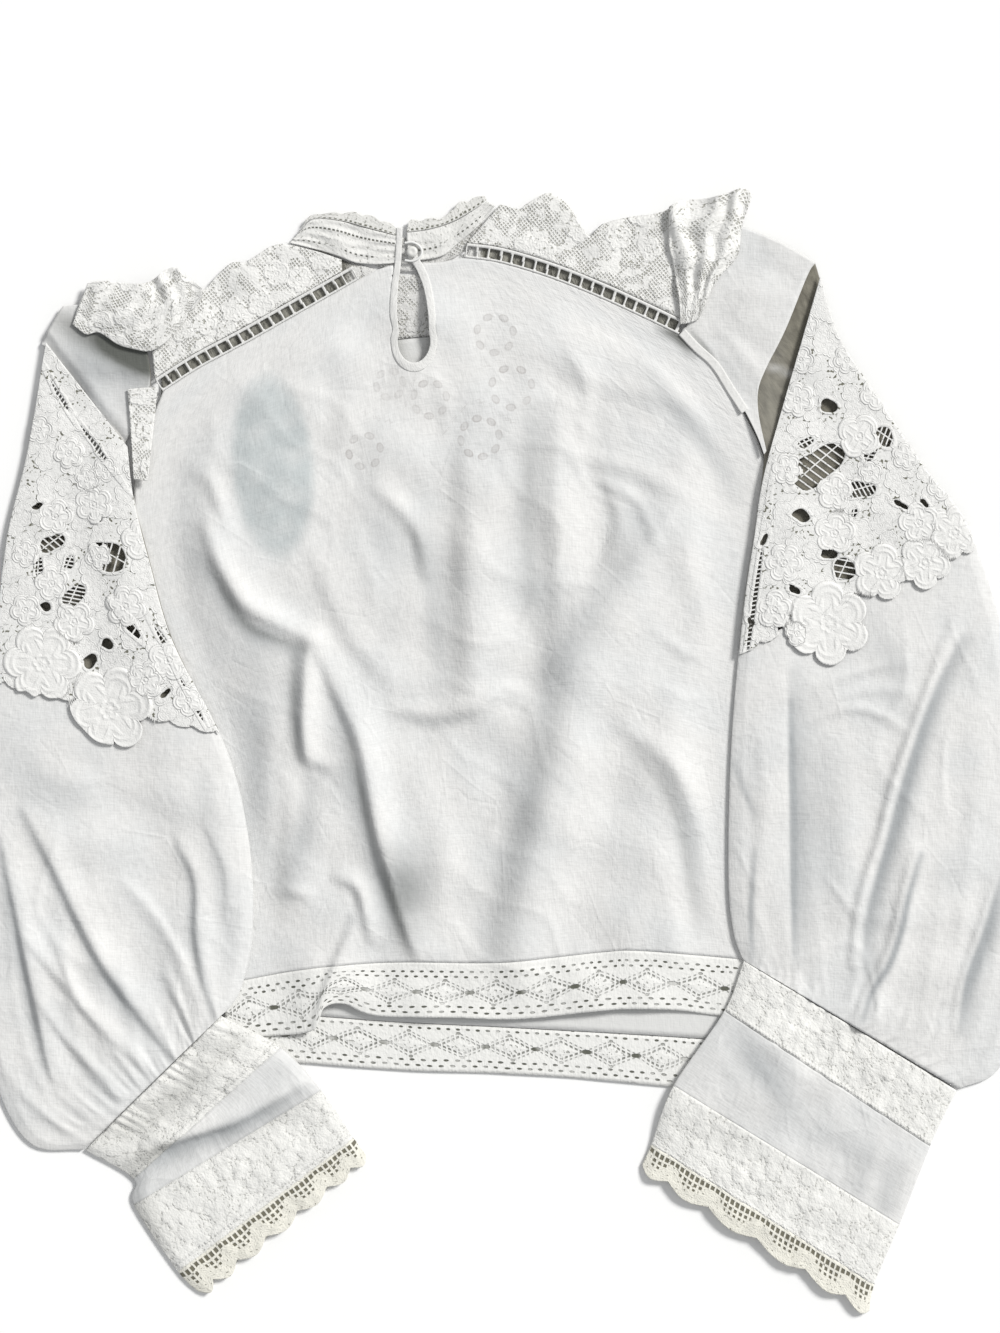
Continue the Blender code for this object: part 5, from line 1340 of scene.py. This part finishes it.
guipure = guipure_finish("guipure")
INSERT_TOP = 0.012
for side, head, area in (("right", INSERT_TOP, 0.0226), ("left", 0.001, 0.0190)):
    whole = stations(SLEEVES[side], 0.0, 1.0)

    def reach(u, v, side=side, head=INSERT_TOP):
        foot = insert_end(side, u)
        return foot + (head - foot) * v

    def insert_rise(x, y, u, v, side=side, reach=reach):
        rise, light = flower_parts(side, x, y)
        cover = under_sleeve(x, y) + puff_height(side, u, reach(u, v)) + 0.4 + CLOTH
        return cover + rise + 0.35 * waves(x, y, 38, 14) * (1 - light) * dome(u) - 0.3

    marks = {"motif": lambda x, y, u, v, side=side: flower_parts(side, x, y)[1],
             **each_of(FLOWER_MARKS, lambda x, y, u, v, side=side: nearest_flower(side, x, y)),
             **each_of(GAP_MARKS, lambda x, y, u, v, side=side, reach=reach: nearest_gap(
                 side, x, y, reach(u, v)))}
    insert = cloth(f"insert_{side}",
                   lambda u, v, whole=whole, reach=reach, head=head: whole(u, reach(u, v, head=head)),
                   1.05, insert_rise, guipure, f"guipure_insert_{side}", planar=True, marks=marks)

# The cuffs
# Each deep cuff is a tube of four bands sewn in a row: embossed cotton lace, plain voile, a second lace and
# a cream edging worked in square eyes with a scalloped rim. The left one lies creased across its voile.
CUFFS = {
    # inner x and y, outer x and y, from the puff to the rim
    "right": [
        (146, -176, 274, -254), (134.4, -206, 258, -287.6), (103.8, -251, 239.4, -335),
        (90.6, -286.7, 224.4, -371), (83.4, -302.6, 221.4, -391)],
    "left": [
        (-167, -209, -249, -290), (-131.4, -228, -220, -307.4), (-106.8, -254, -219.6, -323),
        (-87.6, -282.8, -193, -363), (-78, -296, -177, -378)],
}
CUFF_FOLDS = {
    # points along the fold, its width on the left and on the right, its height in millimetres
    "right": [
        ([(138, -222), (160, -236), (178, -252)], 6, 8, -1.4), ([(128, -232), (146, -250)], 7, 5, 1.1),
        ([(240, -300), (236, -322)], 5, 4, -1.2), ([(200, -262), (214, -290), (216, -310)], 8, 8, 0.8)],
    "left": [
        ([(-220, -296), (-196, -284), (-160, -273), (-128, -255), (-114, -246)], 7, 2.2, 4.2),
        ([(-228, -276), (-201, -290), (-180, -281), (-144, -266), (-116, -253)], 3, 5, -1.2),
        ([(-190, -262), (-170, -248), (-150, -232)], 8, 8, 1.0), ([(-210, -290), (-214, -330)], 4, 4, 1.0)],
}
CUFF_SHADES = {
    # points along the shade, its width on the left and on the right, its strength
    "right": [
        ([(143, -224), (156, -240), (174, -262)], 10, 8, 0.6), ([(236, -300), (230, -330)], 6, 6, 0.35),
        ([(120, -226), (180, -270), (240, -310)], 20, 20, 0.2), ([(224, -280), (214, -320)], 4, 7, 0.3)],
    "left": [
        ([(-214, -292), (-162, -276), (-120, -254)], 3, 8, 0.9),
        ([(-216, -300), (-190, -290)], 9, 9, 0.4),
        ([(-244, -280), (-214, -272), (-186, -254)], 10, 10, 0.45),
        ([(-222, -296), (-216, -322), (-204, -348)], 9, 11, 0.5),
        ([(-150, -216), (-176, -240), (-200, -262)], 6, 8, 0.3)],
}
CUFF_LOBES = {"right": 6, "left": 7}


def cuff_lace_finish(name, depth):
    """Embossed cotton lace: crowded petals, pin holes among them, and a twisted cord along the lower seam."""
    f = Finish(name, 0.9, 0.2)
    s, t, at = f.along()
    x, y, own = f.scatter(at, 10.5, 0.8)
    cords, out = f.rosette(x, y, own * 1.5 + 4.8, 5.0, own * 9.0)
    flower = out.below(0.94, 0.24)
    cord = abs(t - depth + 1.0).below(0.7, 0.4) * (s / 2.4).part().below(0.6, 0.25)
    pins = f.noise(at, 1.7, 1.0).below(0.39, 0.05) * (1.0 - flower)
    tone = (0.82, 0.815, 0.79)
    colour = f.mix(f.noise(at, 30.0, 2.0), tone, tuple(0.93 * c for c in tone))
    colour = f.mix((1.0 - flower) * 0.12, colour, (0.68, 0.675, 0.64))
    # the pin holes are painted dark, as the shade seen through them
    colour = f.mix(pins * 0.35, colour, (0.34, 0.335, 0.29))
    colour = f.mix(f.mark("shade"), colour, (0.42, 0.42, 0.40))
    relief = cords * 0.05 + flower * 0.28 + f.noise(at, 1.3, 1.0) * 0.35 + f.noise(at, 3.4, 2.0) * 0.7
    return f.wear(colour, relief + cord * 0.3 - pins * 0.2)


def edging_finish(name):
    """Cream cotton crochet: one full row of square eyes, then two rows that thin out into each scallop."""
    f = Finish(name, 0.92, 0.15)
    s, t, at = f.along()

    def eyes(row, pitch, half):
        place = abs((s / pitch).part() - 0.5) * pitch
        return place.most(abs(t - row)).below(half, 0.22)

    lobe = 1.0 - f.mark("lobe")
    openings = eyes(2.6, 3.6, 1.15).most(eyes(6.0, 3.6, 0.95) * lobe.below(0.45, 0.06))
    openings = openings.most(eyes(9.2, 3.6, 0.8) * lobe.below(0.22, 0.06))
    openings = openings.most(f.noise(at, 1.9, 1.0).below(0.31, 0.02) * 0.7)
    # the eyes are painted dark, as the shade seen through them
    colour = f.mix(openings, f.mix(f.noise(at, 20.0, 2.0), (0.81, 0.795, 0.725), (0.77, 0.75, 0.67)),
                   (0.17, 0.16, 0.12))
    return f.wear(colour, f.noise(at, 1.2, 1.0) * 0.5 + f.noise(at, 3.5, 1.0) * 0.4 - openings * 0.5)


cuff_voile = voile("cuff_voile")
BANDS = [
    # node, piece, finish, size of the grid's cells
    ("cuff_top_lace", "cuff_lace_upper", cuff_lace_finish("cuff_lace", 34.0), 1.35),
    ("cuff_band", "cuff_plain_band", cuff_voile, 1.6),
    ("cuff_lower_lace", "cuff_lace_lower", cuff_lace_finish("cuff_lace_deep", 38.0), 1.35),
    ("cuff_edging", "cuff_rim", edging_finish("cream_edging"), 0.8),
]
for side, table in CUFFS.items():
    rows = np.array(table, float)
    for k, (node, piece, finish, grain) in enumerate(BANDS):
        depth = np.linalg.norm((rows[k + 1] - rows[k])[:2])
        far = np.linalg.norm((rows[k + 1] - rows[k])[2:])
        plain = node == "cuff_band"

        def cuff_height(x, y, u, v, side=side, k=k, plain=plain):
            gather = 0.0
            if k == 0:
                pleat = np.sin(u * 90 + 4 * np.sin(u * 17)) * ease(1 - v * 1.4)
                gather = (0.7 if side == "left" else 0.25) * pleat + 0.15 * waves(x, y, 11, 71)
            seam = ease(12 * v) * ease(12 * (1 - v))
            soft = 0.45 * waves(x, y, 30, 77) + seam * (
                0.4 * creases(x, y, 22, 79) if plain else 0.14 * waves(x, y, 8, 81))
            lap = 0.0 if plain else 0.15
            return 3.0 + lap + dome(u) * (1.4 + soft + gather * 0.8 + folded(x, y, CUFF_FOLDS[side]))

        place, top = ring(table, k - 0.3 / depth if k else 0.1 / depth, k + 1, cuff_height)
        if node == "cuff_edging":
            def top(q, v, straight=top, lobes=CUFF_LOBES[side]):
                return straight(q, v * (0.72 + 0.28 * np.abs(np.sin(lobes * math.pi * around(q)[1]))))
        shades = CUFF_SHADES[side] if plain or side == "left" else []
        band = cloth(f"{piece}_{side}", place, grain, top, finish, f"{node}_{side}", closed=True,
                     marks={"shade": shade_of(shades),
                            "lobe": lambda x, y, u, v, side=side: np.abs(
                                np.sin(CUFF_LOBES[side] * math.pi * around(u)[1]))})
